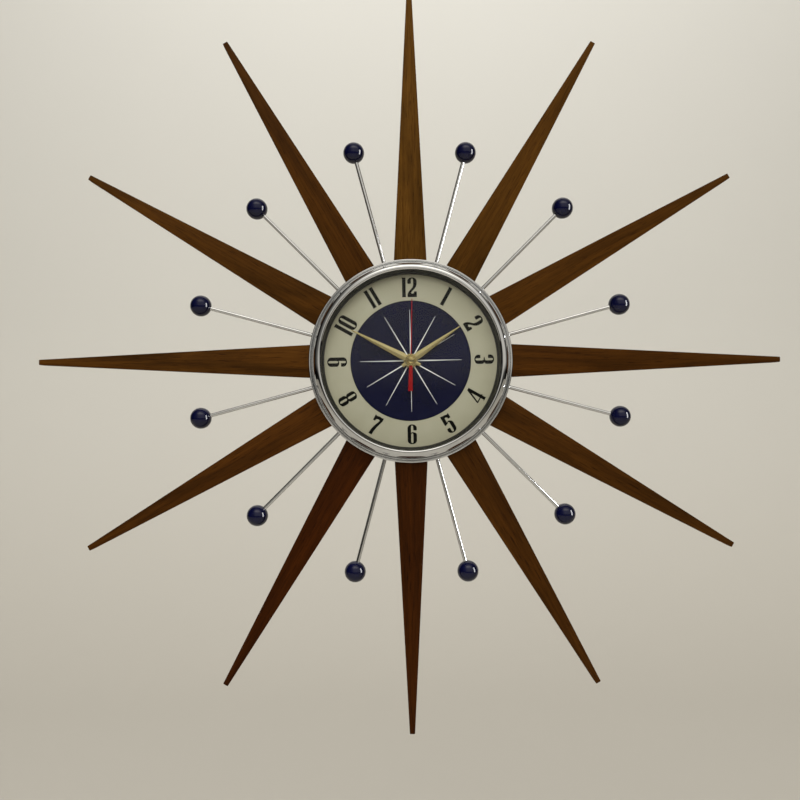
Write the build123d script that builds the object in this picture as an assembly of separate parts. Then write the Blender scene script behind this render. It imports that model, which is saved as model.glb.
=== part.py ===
"""Sunburst wall clock with a battery quartz movement.

A round wooden hub carries twelve tapered wooden rays and, between them, twelve thin rods that
end in lacquered balls. A metal pan on the front of the hub holds the dial, the sight ring, the
domed glass and the polished bezel. The quartz movement hangs from the dial by its centre nut and
sits in the open middle of the hub, with its battery and setting knob towards the wall.

Every piece is drawn lying face up: X to the right, Y up the wall, Z out from the wall.
stand_up() then turns it upright, so in the files +Z is up, the wall is the plane Y = 0, the dial
faces -Y, and the origin is on the hands' axis. All lengths are in millimetres.
"""
import os
from math import acos, cos, pi, radians, sin, tan

from build123d import *

# ---- sunburst ------------------------------------------------------------------------------
ray_count = 12
ray_tip_radius = 368.0
ray_root_radius = 74.0
ray_tip_width = 5.2
ray_taper = 0.102
ray_thickness = 10.0
ray_tip_rounding = 0.8
ray_edge_easing = 0.8
ball_radius = 10.5
ball_circle_radius = 216.5
ball_bore_depth = 8.0
rod_radius = 2.0
rod_root_radius = 80.0

# ---- hub -----------------------------------------------------------------------------------
hub_radius = 92.0
hub_thickness = 22.0
hub_opening_radius = 42.0
ray_back = hub_thickness - ray_thickness
sunburst_level = hub_thickness - ray_thickness / 2

# ---- case ----------------------------------------------------------------------------------
pan_thickness = 1.0
pan_opening_radius = 44.0
pan_radius = 94.2
pan_rim_height = 6.0
dial_back = hub_thickness + pan_thickness
dial_thickness = 0.8
dial_front = dial_back + dial_thickness
dial_radius = 91.4
glass_radius = 90.5
glass_thickness = 2.0
glass_rise = 4.0
sight_radius_at_dial = 85.6
sight_radius_at_glass = 88.3
bezel_radius = 101.3
bezel_front = 38.6
bezel_bead_radius = 1.1
bezel_recess_radius = 96.9
bezel_step_radius = 96.3
bezel_band_radius = 95.6
bezel_band_middle_radius = 94.5
bezel_band_top_radius = 91.7
bezel_crest_radius = 90.0
bezel_lip_radius = 88.4
bezel_lip_thickness = 0.7
glass_play = 0.1
rubber_washer_radius = 11.0
dial_washer_radius = 7.0
dial_washer_thickness = 0.5
dial_nut_radius = 6.4
dial_nut_thickness = 2.0

# ---- hands, each level is the back face of the blade ---------------------------------------
hand_thickness = 0.6
hour_hand_level = 28.0
minute_hand_level = 30.6
second_hand_level = 32.7
second_hand_thickness = 0.4
hour_hand_length = 58.5
minute_hand_length = 65.5
minute_hand_tail = 12.0
second_hand_length = 60.3
second_hand_tail = 30.5
hand_boss_radius = 8.3
hand_root_width = 8.0
hand_tip_width = 1.0
hour_collar_radius = 3.6
hour_collar_height = 1.0
minute_collar_radius = 2.6
minute_collar_height = 0.7
second_collar_radius = 1.3
second_collar_height = 0.8
second_boss_radius = 3.4
second_tail_width = 4.5
second_middle_width = 2.9
second_neck_width = 1.0
second_neck_length = 4.0
second_tip_width = 0.7
cap_radius = 3.7
cap_height = 1.8
cap_flange_radius = 5.4
cap_flange_thickness = 0.4
hour_hand_angle = 55.0
minute_hand_angle = 297.5
second_hand_angle = 1.5

# ---- hand arbors: one tube inside the other --------------------------------------------------
running = 0.05
second_arbor_radius = 0.5
minute_tube_radius = 1.6
hour_tube_radius = 2.5
bushing_radius = 4.0
bushing_front = 26.6

# ---- movement case -------------------------------------------------------------------------
movement_half = 28.0
movement_back = 6.0
movement_front = hub_thickness
movement_wall = 1.2
movement_corner = 3.0
cover_front = movement_back + movement_wall
case_floor = movement_front - movement_wall
gear_room_bottom = -10.8
battery_room_top = -11.8
room_half = movement_half - movement_wall
plate_back = 14.9
plate_front = 15.9
plate_left = -14.5
plate_right = 19.0
plate_post_radius = 1.5
plate_posts = ((-12, 24), (17, 24), (17, -8), (-12, -8))
third_arbor_passage = 1.8
case_play = 0.1

# ---- gear train ------------------------------------------------------------------------------
pressure_angle = radians(20)
tooth_backlash = 0.16
wheel_addendum = 0.75
wheel_dedendum = 1.15
pinion_addendum = 0.85
pinion_dedendum = 1.25
wheel_thickness = 1.0
arbor_radius = 0.5
pivot_radius = 0.35
pivot_length = 0.6
centre_teeth = 64
cannon_teeth = 15
minute_wheel_teeth = 45
minute_pinion_teeth = 12
hour_teeth = 48
setting_teeth = 12
third_teeth = 60
train_pinion_teeth = 8
second_teeth = 60
intermediate_teeth = 50
rotor_teeth = 10
motion_module = 0.4
train_module = 0.3
motion_distance = motion_module * (cannon_teeth + minute_wheel_teeth) / 2
setting_distance = motion_module * (setting_teeth + minute_wheel_teeth) / 2
third_distance = train_module * (train_pinion_teeth + centre_teeth) / 2
third_module = 2 * third_distance / (train_pinion_teeth + third_teeth)
intermediate_distance = train_module * (rotor_teeth + second_teeth) / 2
rotor_distance = train_module * (rotor_teeth + intermediate_teeth) / 2
motion_direction = 150.0
setting_direction = 200.0
third_direction = 30.0
intermediate_direction = 90.0
rotor_direction = 60.0
hour_level = 19.4
motion_level = 17.9
centre_level = 16.2
third_level = 13.3
second_level = 11.6
intermediate_level = 9.9
pinion_overhang = 0.1
minute_post_radius = 0.8
setting_stem_radius = 0.9
setting_knob_radius = 5.0
setting_knob_back = 2.5
setting_knob_front = 5.6
setting_knob_flutes = 20
setting_flute_radius = 0.5
magnet_radius = 3.0
magnet_gap = 0.5

# ---- coil, stator, circuit and battery -------------------------------------------------------
stator_thickness = 1.2
stator_front = cover_front + stator_thickness
stator_slot = 0.8
stator_left = 4.5
stator_right = 2.7
stator_up = 5.2
stator_down = 5.0
stator_neck = 4.0
core_half_width = 1.5
core_half_thickness = 0.5
core_reach = 3.2
core_foot = 3.0
sleeve_half_width = 2.0
sleeve_half_thickness = 1.0
flange_half = 3.2
flange_thickness = 1.0
coil_x = 23.3
coil_level = 12.1
coil_low = -4.0
coil_high = 19.5
coil_radius = 3.1
circuit_left = -26.0
circuit_right = -15.5
circuit_low = 8.0
circuit_high = 26.0
circuit_thickness = 1.0
crystal_radius = 1.5
crystal_length = 8.0
crystal_place = (-21.0, 17.0)
battery_radius = 7.15
battery_edge = 0.5
battery_nub_radius = 2.75
battery_y = -19.3
battery_level = 13.35
battery_minus_end = -24.6
battery_plus_end = 24.9
battery_nub_end = 25.9
contact_thickness = 0.4
contact_back = 8.0
contact_front = 18.5
positive_half_height = 3.7
negative_half_height = 4.5
cup_base_radius = 3.6
cup_tip_radius = 2.6
cup_wall = 0.6

# ---- fasteners and hanger --------------------------------------------------------------------
ray_screw_radius = 1.75
ray_screw_head = 3.4
ray_screw_head_height = 2.5
ray_screw_length = 18.5
ray_screw_sink = 0.5
ray_screw_circles = (79.0, 88.0)
case_screw_radius = 1.5
case_screw_head = 2.8
case_screw_length = 12.0
case_screw_circle = 62.0
case_screw_count = 4
plate_thickness = 1.5
plate_half_width = 16.5
plate_low = 44.5
plate_high = 73.5
keyhole_y = 54.0
keyhole_radius = 4.5
keyhole_slot_y = 62.0
keyhole_slot_radius = 2.25
hanger_pocket_half = 9.0
hanger_pocket_low = 46.5
hanger_pocket_high = 71.5
hanger_pocket_depth = 11.0
hanger_screw_x = 13.0
hanger_screw_heights = (49.0, 69.0)
hanger_screw_radius = 1.25
hanger_screw_head = 2.5
hanger_screw_length = 10.0


# ---- helpers ---------------------------------------------------------------------------------
def disc(radius, low, high, at=(0, 0)):
    """A round bar about an axis square to the wall."""
    return Pos(at[0], at[1], (low + high) / 2) * Cylinder(radius, high - low)


def tube(outer, inner, low, high, at=(0, 0)):
    """A round bar with a round hole through it."""
    return disc(outer, low, high, at) - disc(inner, low, high, at)


def block(x_low, x_high, y_low, y_high, low, high):
    """A rectangular block given by its faces."""
    middle = Pos((x_low + x_high) / 2, (y_low + y_high) / 2, (low + high) / 2)
    return middle * Box(x_high - x_low, y_high - y_low, high - low)


def slab(points, low, high):
    """A flat plate with the given outline."""
    return Pos(0, 0, low) * extrude(Polygon(*points, align=None), high - low)


def lathe(outline):
    """A turned piece: the outline holds radius and level, and turns about the hands' axis."""
    return revolve(make_face(Plane.XZ * outline), Axis.Z)


def polar(distance, direction, start=(0, 0)):
    """The point at a distance and a direction, in degrees from +X, from another point."""
    angle = radians(direction)
    return start[0] + distance * cos(angle), start[1] + distance * sin(angle)


def clockwise(angle, shape):
    """Turn a shape clockwise about the hands' axis, as the clock is seen from the front."""
    return Rot(0, 0, -angle) * shape


def countersunk_screw(head_radius, shank_radius, head_height, length):
    """A screw with its flat head at level 0 and its point upwards."""
    head = Pos(0, 0, head_height / 2) * Cone(head_radius, shank_radius, head_height)
    point_height = 1.5 * shank_radius
    shank = disc(shank_radius, head_height, length - point_height)
    point = Pos(0, 0, length - point_height / 2) * Cone(shank_radius, 0.3, point_height)
    return head + shank + point


# ---- gear teeth ------------------------------------------------------------------------------
def gear_outline(teeth, module, pinion, phase):
    """Involute teeth drawn with short straight flanks; one tooth is centred on the phase angle."""
    addendum = pinion_addendum if pinion else wheel_addendum
    dedendum = pinion_dedendum if pinion else wheel_dedendum
    pitch_radius = teeth * module / 2
    base_radius = pitch_radius * cos(pressure_angle)
    tip_radius = pitch_radius + addendum * module
    root_radius = pitch_radius - dedendum * module
    half_tooth = (pi / 2 - tooth_backlash) / teeth + tan(pressure_angle) - pressure_angle

    def half_angle(radius):
        if radius <= base_radius:
            return half_tooth
        turn = acos(base_radius / radius)
        return half_tooth - (tan(turn) - turn)

    flank_low = max(base_radius, root_radius)
    radii = [flank_low, tip_radius]
    if pinion:
        radii = [root_radius, base_radius, (base_radius + tip_radius) / 2, tip_radius]
    points = []
    for tooth in range(teeth):
        centre = radians(phase) + 2 * pi * tooth / teeth
        flank = [(radius, half_angle(radius)) for radius in radii]
        points += [(r * cos(centre - h), r * sin(centre - h)) for r, h in flank]
        points += [(r * cos(centre + h), r * sin(centre + h)) for r, h in reversed(flank)]
    return points


def gear(teeth, module, low, high, at=(0, 0), phase=0.0, pinion=False):
    """A toothed disc in its place in the train."""
    flat = slab(gear_outline(teeth, module, pinion, phase), low, high)
    return Pos(at[0], at[1], 0) * flat


def mesh_phase(phase, teeth, direction, other_teeth):
    """The phase of a gear that meshes with another one, which lies in the given direction from it."""
    pitches = (direction - phase) * teeth / 360
    return direction + 180 - (0.5 - pitches) * 360 / other_teeth


def arbor(at, low, high):
    """A steel arbor with a thin pivot at each end; the pivots reach past low and high."""
    bar = disc(arbor_radius, low + 0.1, high - 0.1, at)
    return bar + disc(pivot_radius, low - pivot_length, high + pivot_length, at)


# ---- places and phases of the train ------------------------------------------------------------
centre = (0.0, 0.0)
minute_post = polar(motion_distance, motion_direction)
setting_place = polar(setting_distance, setting_direction, minute_post)
third_place = polar(third_distance, third_direction)
intermediate_place = polar(intermediate_distance, intermediate_direction)
rotor_place = polar(rotor_distance, rotor_direction, intermediate_place)

minute_wheel_phase = mesh_phase(0, cannon_teeth, motion_direction, minute_wheel_teeth)
hour_phase = mesh_phase(0, minute_pinion_teeth, motion_direction + 180, hour_teeth)
setting_phase = mesh_phase(minute_wheel_phase, minute_wheel_teeth, setting_direction, setting_teeth)
third_phase = mesh_phase(0, centre_teeth, third_direction, train_pinion_teeth)
second_phase = mesh_phase(0, third_teeth, third_direction + 180, train_pinion_teeth)
intermediate_phase = mesh_phase(0, second_teeth, intermediate_direction, rotor_teeth)
rotor_phase = mesh_phase(0, intermediate_teeth, rotor_direction, rotor_teeth)


# ---- sunburst pieces ---------------------------------------------------------------------------
def ray_width(radius):
    """Width of a ray at a distance from the hands' axis."""
    return ray_tip_width + ray_taper * (ray_tip_radius - radius)


def ray_prism():
    """The ray that points up, with sharp edges."""
    root_half = ray_width(ray_root_radius) / 2
    tip_half = ray_tip_width / 2
    outline = Polygon(
        (-root_half, ray_root_radius),
        (root_half, ray_root_radius),
        (tip_half, ray_tip_radius),
        (-tip_half, ray_tip_radius),
        align=None,
    )
    tip_corners = outline.vertices().sort_by(Axis.Y)[-2:]
    outline = fillet(tip_corners, ray_tip_rounding)
    return Pos(0, 0, ray_back) * extrude(outline, ray_thickness)


def ray_screw_pair():
    """The two screws that hold the ray that points up."""
    screw = countersunk_screw(ray_screw_head, ray_screw_radius, ray_screw_head_height, ray_screw_length)
    return [Pos(0, circle, ray_screw_sink) * screw for circle in ray_screw_circles]


def ray(angle):
    """A tapered wooden ray with eased front edges and two screw holes in its back."""
    body = ray_prism()
    front_edges = body.faces().sort_by(Axis.Z)[-1].edges().sort_by(Axis.Y)[1:]
    body = fillet(front_edges, ray_edge_easing)
    for screw in ray_screw_pair():
        body -= screw
    return clockwise(angle, body)


def rod(angle):
    """A thin rod from inside the hub's rim to inside a ball."""
    end = ball_circle_radius - ball_radius + ball_bore_depth
    length = end - rod_root_radius
    bar = Cylinder(rod_radius, length, rotation=(90, 0, 0))
    return clockwise(angle, Pos(0, (rod_root_radius + end) / 2, sunburst_level) * bar)


def ball(angle):
    """A lacquered ball with a blind hole for its rod."""
    body = clockwise(angle, Pos(0, ball_circle_radius, sunburst_level) * Sphere(ball_radius))
    return body - rod(angle)


def ray_angles():
    return [360 / ray_count * index for index in range(ray_count)]


def rod_angles():
    return [angle + 180 / ray_count for angle in ray_angles()]


def ray_screws():
    pairs = [clockwise(angle, screw) for angle in ray_angles() for screw in ray_screw_pair()]
    return Compound(pairs)


# ---- hub and hanger ----------------------------------------------------------------------------
def case_screws():
    """Screws that hold the pan on the hub, with heads flush in the pan."""
    screw = countersunk_screw(case_screw_head, case_screw_radius, pan_thickness, case_screw_length)
    turned = Pos(0, case_screw_circle, dial_back) * Rot(180, 0, 0) * screw
    step = 360 / case_screw_count
    return [clockwise(step / 2 + step * index, turned) for index in range(case_screw_count)]


def hanger_screws():
    """Screws that hold the keyhole plate on the back of the hub."""
    screw = countersunk_screw(
        hanger_screw_head, hanger_screw_radius, plate_thickness, hanger_screw_length
    )
    sides = (-hanger_screw_x, hanger_screw_x)
    return [Pos(x, y, 0) * screw for x in sides for y in hanger_screw_heights]


def hanger_blank():
    return block(-plate_half_width, plate_half_width, plate_low, plate_high, 0, plate_thickness)


def hanger_plate():
    """A flush steel plate with a keyhole: the screw head goes in below and hangs at the top."""
    plate = hanger_blank()
    plate -= disc(keyhole_radius, 0, plate_thickness, (0, keyhole_y))
    plate -= disc(keyhole_slot_radius, 0, plate_thickness, (0, keyhole_slot_y))
    plate -= block(
        -keyhole_slot_radius, keyhole_slot_radius, keyhole_y, keyhole_slot_y, 0, plate_thickness
    )
    for screw in hanger_screws():
        plate -= screw
    return plate


def hub_board():
    """The wooden disc that everything is fixed to."""
    board = tube(hub_radius, hub_opening_radius, 0, hub_thickness)
    housing = ray_prism()
    sink = disc(ray_screw_head, 0, ray_screw_sink)
    for angle in ray_angles():
        board -= clockwise(angle, housing)
        for circle in ray_screw_circles:
            board -= clockwise(angle, Pos(0, circle, 0) * sink)
        for screw in ray_screw_pair():
            board -= clockwise(angle, screw)
    for angle in rod_angles():
        board -= rod(angle)
    for screw in case_screws() + hanger_screws():
        board -= screw
    board -= hanger_blank()
    board -= block(
        -hanger_pocket_half,
        hanger_pocket_half,
        hanger_pocket_low,
        hanger_pocket_high,
        plate_thickness,
        hanger_pocket_depth,
    )
    return board


# ---- case pieces -------------------------------------------------------------------------------
def case_pan():
    """A flat metal ring with an upturned rim, which the bezel fits over."""
    pan = tube(pan_radius, pan_opening_radius, hub_thickness, dial_back)
    pan += tube(pan_radius, pan_radius - pan_thickness, dial_back, dial_back + pan_rim_height - 1)
    for screw in case_screws():
        pan -= screw
    return pan


def glass_edge_front():
    """Level of the front of the glass at its rim."""
    return bezel_front - 2.0


def bezel():
    """The polished ring: an outer bead, a flat recess, a tall rounded band and a rolled lip."""
    back = hub_thickness
    bead = (bezel_radius - bezel_bead_radius, back + bezel_bead_radius)
    bead_top = polar(bezel_bead_radius, 90, bead)
    bead_shoulder = polar(bezel_bead_radius, 130, bead)
    bead_end = polar(bezel_bead_radius, 170, bead)
    recess_inner = (bezel_recess_radius, back + 1.2)
    step_foot = (bezel_step_radius, back + 4.4)
    band_foot = (bezel_band_radius, back + 5.0)
    band_middle = (bezel_band_middle_radius, bezel_front - 5.0)
    band_top = (bezel_band_top_radius, bezel_front - 1.2)
    lip_middle = (bezel_crest_radius, bezel_front)
    lip_edge = (bezel_lip_radius, bezel_front - 1.0)
    seat_level = bezel_front - 1.0 - bezel_lip_thickness
    glass_seat = (bezel_lip_radius, seat_level)
    seat_corner = (glass_radius + glass_play, seat_level)
    seat_foot = (glass_radius + glass_play, bezel_front - 5.6)
    rim_top = (pan_radius, dial_back + pan_rim_height)
    rim_foot = (pan_radius, back)
    bead_foot = (bead[0], back)
    outline = (
        ThreePointArc(bead_foot, (bezel_radius, bead[1]), bead_top)
        + ThreePointArc(bead_top, bead_shoulder, bead_end)
        + Polyline(bead_end, recess_inner, step_foot, band_foot)
        + ThreePointArc(band_foot, band_middle, band_top)
        + ThreePointArc(band_top, lip_middle, lip_edge)
        + Polyline(lip_edge, glass_seat, seat_corner, seat_foot, rim_top, rim_foot, bead_foot)
    )
    return lathe(outline)


def dome_ball(radius, edge_level, rise):
    """The large ball whose top is a shallow dome: level at the edge radius, and rise above it."""
    ball_size = (radius**2 + rise**2) / (2 * rise)
    return Pos(0, 0, edge_level + rise - ball_size) * Sphere(ball_size)


def glass():
    """A shallow dome of even thickness."""
    front = glass_edge_front()
    back = front - glass_thickness
    blank = disc(glass_radius, back, front + glass_rise)
    dome = blank & dome_ball(glass_radius, front, glass_rise)
    return dome - dome_ball(glass_radius, back, glass_rise)


def sight_ring():
    """The dark ring between dial and glass; its inner wall slopes outwards to the glass."""
    top = glass_edge_front() - glass_thickness
    outline = Polyline(
        (sight_radius_at_dial, dial_front),
        (glass_radius, dial_front),
        (glass_radius, top),
        (sight_radius_at_glass, top),
        close=True,
    )
    return lathe(outline)


def dial():
    return tube(dial_radius, bushing_radius + running, dial_back, dial_front)


# ---- hands -------------------------------------------------------------------------------------
def hand_blade(length, tail, level):
    """A flat tapered blade with a round boss, pointing up."""
    half_root = hand_root_width / 2
    half_tip = hand_tip_width / 2
    points = [
        (-half_root * 0.6, -tail),
        (half_root * 0.6, -tail),
        (half_root, hand_boss_radius),
        (half_tip, length),
        (-half_tip, length),
        (-half_root, hand_boss_radius),
    ]
    return slab(points, level, level + hand_thickness)


def collared_hand(blade, level, bore_radius, collar_radius, collar_height):
    """A blade with its boss and the collar that grips the tube behind it."""
    top = level + hand_thickness
    hand = blade + disc(hand_boss_radius, level, top)
    hand += disc(collar_radius, level - collar_height, level)
    return hand - disc(bore_radius, level - collar_height, top)


def hour_hand():
    blade = hand_blade(hour_hand_length, hand_boss_radius, hour_hand_level)
    hand = collared_hand(
        blade, hour_hand_level, hour_tube_radius, hour_collar_radius, hour_collar_height
    )
    return clockwise(hour_hand_angle, hand)


def minute_hand():
    blade = hand_blade(minute_hand_length, minute_hand_tail, minute_hand_level)
    hand = collared_hand(
        blade, minute_hand_level, minute_tube_radius, minute_collar_radius, minute_collar_height
    )
    return clockwise(minute_hand_angle, hand)


def second_hand():
    """A thin needle with a wider blunt tail."""
    level = second_hand_level
    front = level + second_hand_thickness
    collar_back = level - second_collar_height
    right_side = [
        (second_tail_width / 2, -second_hand_tail),
        (second_middle_width / 2, 0),
        (second_neck_width / 2, second_neck_length),
        (second_tip_width / 2, second_hand_length),
    ]
    left_side = [(-x, y) for x, y in reversed(right_side)]
    hand = slab(right_side + left_side, level, front) + disc(second_boss_radius, level, front)
    hand += disc(second_collar_radius, collar_back, level)
    hand -= disc(second_arbor_radius, collar_back, front)
    return clockwise(second_hand_angle, hand)


def cap_back():
    return second_hand_level + second_hand_thickness


def hand_cap():
    """The flanged and domed cap on the end of the second hand's arbor."""
    back = cap_back()
    edge = back + 2 * cap_flange_thickness
    blank = disc(cap_radius, back, back + cap_height)
    dome = blank & dome_ball(cap_radius, edge, cap_height - 2 * cap_flange_thickness)
    cap = dome + disc(cap_flange_radius, back, back + cap_flange_thickness)
    return cap - disc(second_arbor_radius, back, back + 0.8)


# ---- dial fixings ------------------------------------------------------------------------------
def rubber_washer():
    return tube(rubber_washer_radius, bushing_radius, movement_front, dial_back)


def dial_washer():
    return tube(
        dial_washer_radius, bushing_radius, dial_front, dial_front + dial_washer_thickness
    )


def dial_nut():
    """A thin hexagon nut on the movement's threaded bushing."""
    hexagon = extrude(RegularPolygon(dial_nut_radius, 6), dial_nut_thickness)
    nut = Pos(0, 0, dial_front + dial_washer_thickness) * hexagon
    return nut - disc(bushing_radius, dial_front, bushing_front)


# ---- movement case -----------------------------------------------------------------------------
def movement_case():
    """The moulded box: gear room above, battery room below, threaded bushing in front."""
    case = block(
        -movement_half, movement_half, -movement_half, movement_half, movement_back, movement_front
    )
    case = fillet(case.edges().filter_by(Axis.Z), movement_corner)
    case -= block(-room_half, room_half, gear_room_bottom, room_half, movement_back, case_floor)
    case -= block(-room_half, room_half, -room_half, battery_room_top, movement_back, case_floor)
    case += disc(bushing_radius, movement_front, bushing_front)
    case -= disc(hour_tube_radius + running, case_floor, bushing_front)
    case += disc(minute_post_radius, motion_level - 0.4, case_floor, minute_post)
    for place in plate_posts:
        case += disc(plate_post_radius, plate_front, case_floor, place)
    pivot_top = case_floor + pivot_length + case_play
    case -= disc(pivot_radius + running, case_floor, pivot_top, third_place)
    case -= disc(arbor_radius + running, case_floor, pivot_top, setting_place)
    return case


def movement_cover():
    """The flat lid over the gear room, with pivot holes and the hole for the setting stem."""
    side = room_half - case_play
    bottom = gear_room_bottom + case_play
    cover = block(-side, side, bottom, side, movement_back, cover_front)
    pivot_floor = cover_front - pivot_length - case_play
    for place in (centre, third_place, intermediate_place, rotor_place):
        cover -= disc(pivot_radius + running, pivot_floor, cover_front, place)
    cover -= disc(setting_stem_radius + running, movement_back, cover_front, setting_place)
    return cover


def middle_plate():
    """The plate between the two layers of wheels."""
    low = gear_room_bottom + 4 * case_play
    high = room_half - 4 * case_play
    plate = block(plate_left, plate_right, low, high, plate_back, plate_front)
    plate -= disc(second_arbor_radius + running, plate_back, plate_front, centre)
    plate -= disc(third_arbor_passage, plate_back, plate_front, third_place)
    for place in (intermediate_place, rotor_place):
        plate -= disc(pivot_radius + running, plate_back, plate_front, place)
    return plate


# ---- wheels ------------------------------------------------------------------------------------
def wheel(teeth, module, level, at, phase):
    return gear(teeth, module, level, level + wheel_thickness, at, phase)


def pinion(teeth, module, level, at, phase):
    """A pinion a little longer than the wheel that it meshes with at the same level."""
    low = level - pinion_overhang
    high = level + wheel_thickness + pinion_overhang
    return gear(teeth, module, low, high, at, phase, pinion=True)


def centre_wheel():
    """Centre wheel and cannon pinion on the tube that carries the minute hand."""
    shape = disc(minute_tube_radius, plate_front + 0.1, minute_hand_level + 1.0)
    shape += wheel(centre_teeth, train_module, centre_level, centre, 0)
    shape += pinion(cannon_teeth, motion_module, motion_level, centre, 0)
    return shape - disc(second_arbor_radius + running, plate_front, minute_hand_level + 1.0)


def hour_wheel():
    """Hour wheel on the tube that carries the hour hand."""
    shape = disc(hour_tube_radius, hour_level - 0.1, hour_hand_level + 1.0)
    shape += wheel(hour_teeth, motion_module, hour_level, centre, hour_phase)
    return shape - disc(minute_tube_radius + running, hour_level - 0.1, hour_hand_level + 1.0)


def minute_wheel():
    """Minute wheel and its pinion, which run on a post of the case."""
    top = hour_level + wheel_thickness
    shape = wheel(minute_wheel_teeth, motion_module, motion_level, minute_post, minute_wheel_phase)
    shape += gear(
        minute_pinion_teeth, motion_module, motion_level + 0.8, top, minute_post, 0, pinion=True
    )
    return shape - disc(minute_post_radius + running, motion_level, top, minute_post)


def third_wheel():
    shape = arbor(third_place, cover_front, case_floor)
    shape += wheel(third_teeth, third_module, third_level, third_place, 0)
    return shape + pinion(train_pinion_teeth, train_module, centre_level, third_place, third_phase)


def second_wheel():
    """Second wheel and pinion on the long arbor that carries the second hand."""
    shape = disc(pivot_radius, cover_front - pivot_length, cover_front + 0.2)
    shape += disc(second_arbor_radius, cover_front + 0.1, cap_back() + 0.8)
    shape += wheel(second_teeth, train_module, second_level, centre, 0)
    return shape + pinion(train_pinion_teeth, third_module, third_level, centre, second_phase)


def intermediate_wheel():
    shape = arbor(intermediate_place, cover_front, plate_back)
    shape += wheel(intermediate_teeth, train_module, intermediate_level, intermediate_place, 0)
    return shape + pinion(
        rotor_teeth, train_module, second_level, intermediate_place, intermediate_phase
    )


def rotor():
    """The step motor's magnet on its pinion arbor."""
    shape = arbor(rotor_place, cover_front, plate_back)
    shape += disc(magnet_radius, cover_front + 0.3, intermediate_level - 0.6, rotor_place)
    return shape + pinion(rotor_teeth, train_module, intermediate_level, rotor_place, rotor_phase)


def setting_knob():
    """Setting pinion, stem and fluted knob."""
    knob = disc(setting_knob_radius, setting_knob_back, setting_knob_front, setting_place)
    for index in range(setting_knob_flutes):
        place = polar(setting_knob_radius + 0.2, 360 / setting_knob_flutes * index, setting_place)
        knob -= disc(setting_flute_radius, setting_knob_back, setting_knob_front, place)
    knob += disc(setting_stem_radius, setting_knob_front, case_floor - 0.1, setting_place)
    knob += disc(arbor_radius, case_floor - 0.1, case_floor + pivot_length, setting_place)
    return knob + pinion(setting_teeth, motion_module, motion_level, setting_place, setting_phase)


# ---- step motor, circuit and battery -----------------------------------------------------------
def along_coil(half_width, half_thickness, low, high):
    """A rectangular bar on the coil's axis."""
    return block(
        coil_x - half_width,
        coil_x + half_width,
        low,
        high,
        coil_level - half_thickness,
        coil_level + half_thickness,
    )


def coil_core():
    """The straight bar through the coil."""
    low = coil_low - core_reach
    return along_coil(core_half_width, core_half_thickness, low, coil_high + core_reach)


def coil_sleeve():
    return along_coil(sleeve_half_width, sleeve_half_thickness, coil_low, coil_high)


def stator():
    """Two flat pole pieces round the magnet, joined by the bar through the coil."""
    split = rotor_place[1]
    left = rotor_place[0] - stator_left
    right = coil_x + stator_right
    upper_low = split + stator_slot / 2
    lower_high = split - stator_slot / 2
    neck = split - stator_neck
    foot_low = coil_low - core_reach
    foot_high = coil_high + core_reach - core_foot
    poles = block(left, right, upper_low, split + stator_up, cover_front, stator_front)
    poles += block(left, right, split - stator_down, lower_high, cover_front, stator_front)
    poles += block(coil_x - stator_right, right, foot_low, neck, cover_front, stator_front)
    poles -= disc(magnet_radius + magnet_gap, cover_front, stator_front, rotor_place)
    foot_left = coil_x - core_half_width
    foot_right = coil_x + core_half_width
    core_back = coil_level - core_half_thickness
    for low in (foot_low, foot_high):
        poles += block(foot_left, foot_right, low, low + core_foot, cover_front, core_back)
    return poles + coil_core()


def coil_bobbin():
    """A square-flanged bobbin on the core."""
    body = coil_sleeve()
    for low in (coil_low, coil_high - flange_thickness):
        body += along_coil(flange_half, flange_half, low, low + flange_thickness)
    return body - coil_core()


def coil_winding():
    length = coil_high - coil_low - 2 * flange_thickness
    middle = Pos(coil_x, (coil_low + coil_high) / 2, coil_level)
    return middle * Cylinder(coil_radius, length, rotation=(90, 0, 0)) - coil_sleeve()


def circuit_board():
    front = cover_front + circuit_thickness
    return block(circuit_left, circuit_right, circuit_low, circuit_high, cover_front, front)


def quartz_crystal():
    """The small can that lies on the circuit board."""
    lying = Cylinder(crystal_radius, crystal_length, rotation=(90, 0, 0))
    level = cover_front + circuit_thickness + crystal_radius
    return Pos(crystal_place[0], crystal_place[1], level) * lying


def lengthwise(radius, x_low, x_high):
    """A round bar along the battery's axis."""
    bar = Cylinder(radius, x_high - x_low, rotation=(0, 90, 0))
    return Pos((x_low + x_high) / 2, battery_y, battery_level) * bar


def battery():
    body = lengthwise(battery_radius, battery_minus_end, battery_plus_end)
    body = fillet(body.edges(), battery_edge)
    return body + lengthwise(battery_nub_radius, battery_plus_end, battery_nub_end)


def contact_strip(x_low, x_high, half_height, back, front):
    return block(
        x_low, x_high, battery_y - half_height, battery_y + half_height, back, front
    )


def contact_positive():
    """A bent strip between the battery's nub and the end wall."""
    face_end = battery_nub_end + contact_thickness
    strip = contact_strip(
        battery_nub_end, face_end, positive_half_height, contact_back, contact_front
    )
    for low in (contact_back, contact_front - contact_thickness):
        high = low + contact_thickness
        strip += contact_strip(battery_nub_end, room_half, positive_half_height, low, high)
    return strip


def contact_negative():
    """A plate with a sprung cup that presses on the battery's flat end."""
    start = contact_thickness - room_half
    plate = contact_strip(-room_half, start, negative_half_height, contact_back, contact_front)
    height = battery_minus_end - start
    cup = Cone(cup_base_radius, cup_tip_radius, height, rotation=(0, 90, 0))
    cup -= Cone(cup_base_radius - cup_wall, cup_tip_radius - cup_wall, height, rotation=(0, 90, 0))
    return plate + Pos(start + height / 2, battery_y, battery_level) * cup


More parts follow.
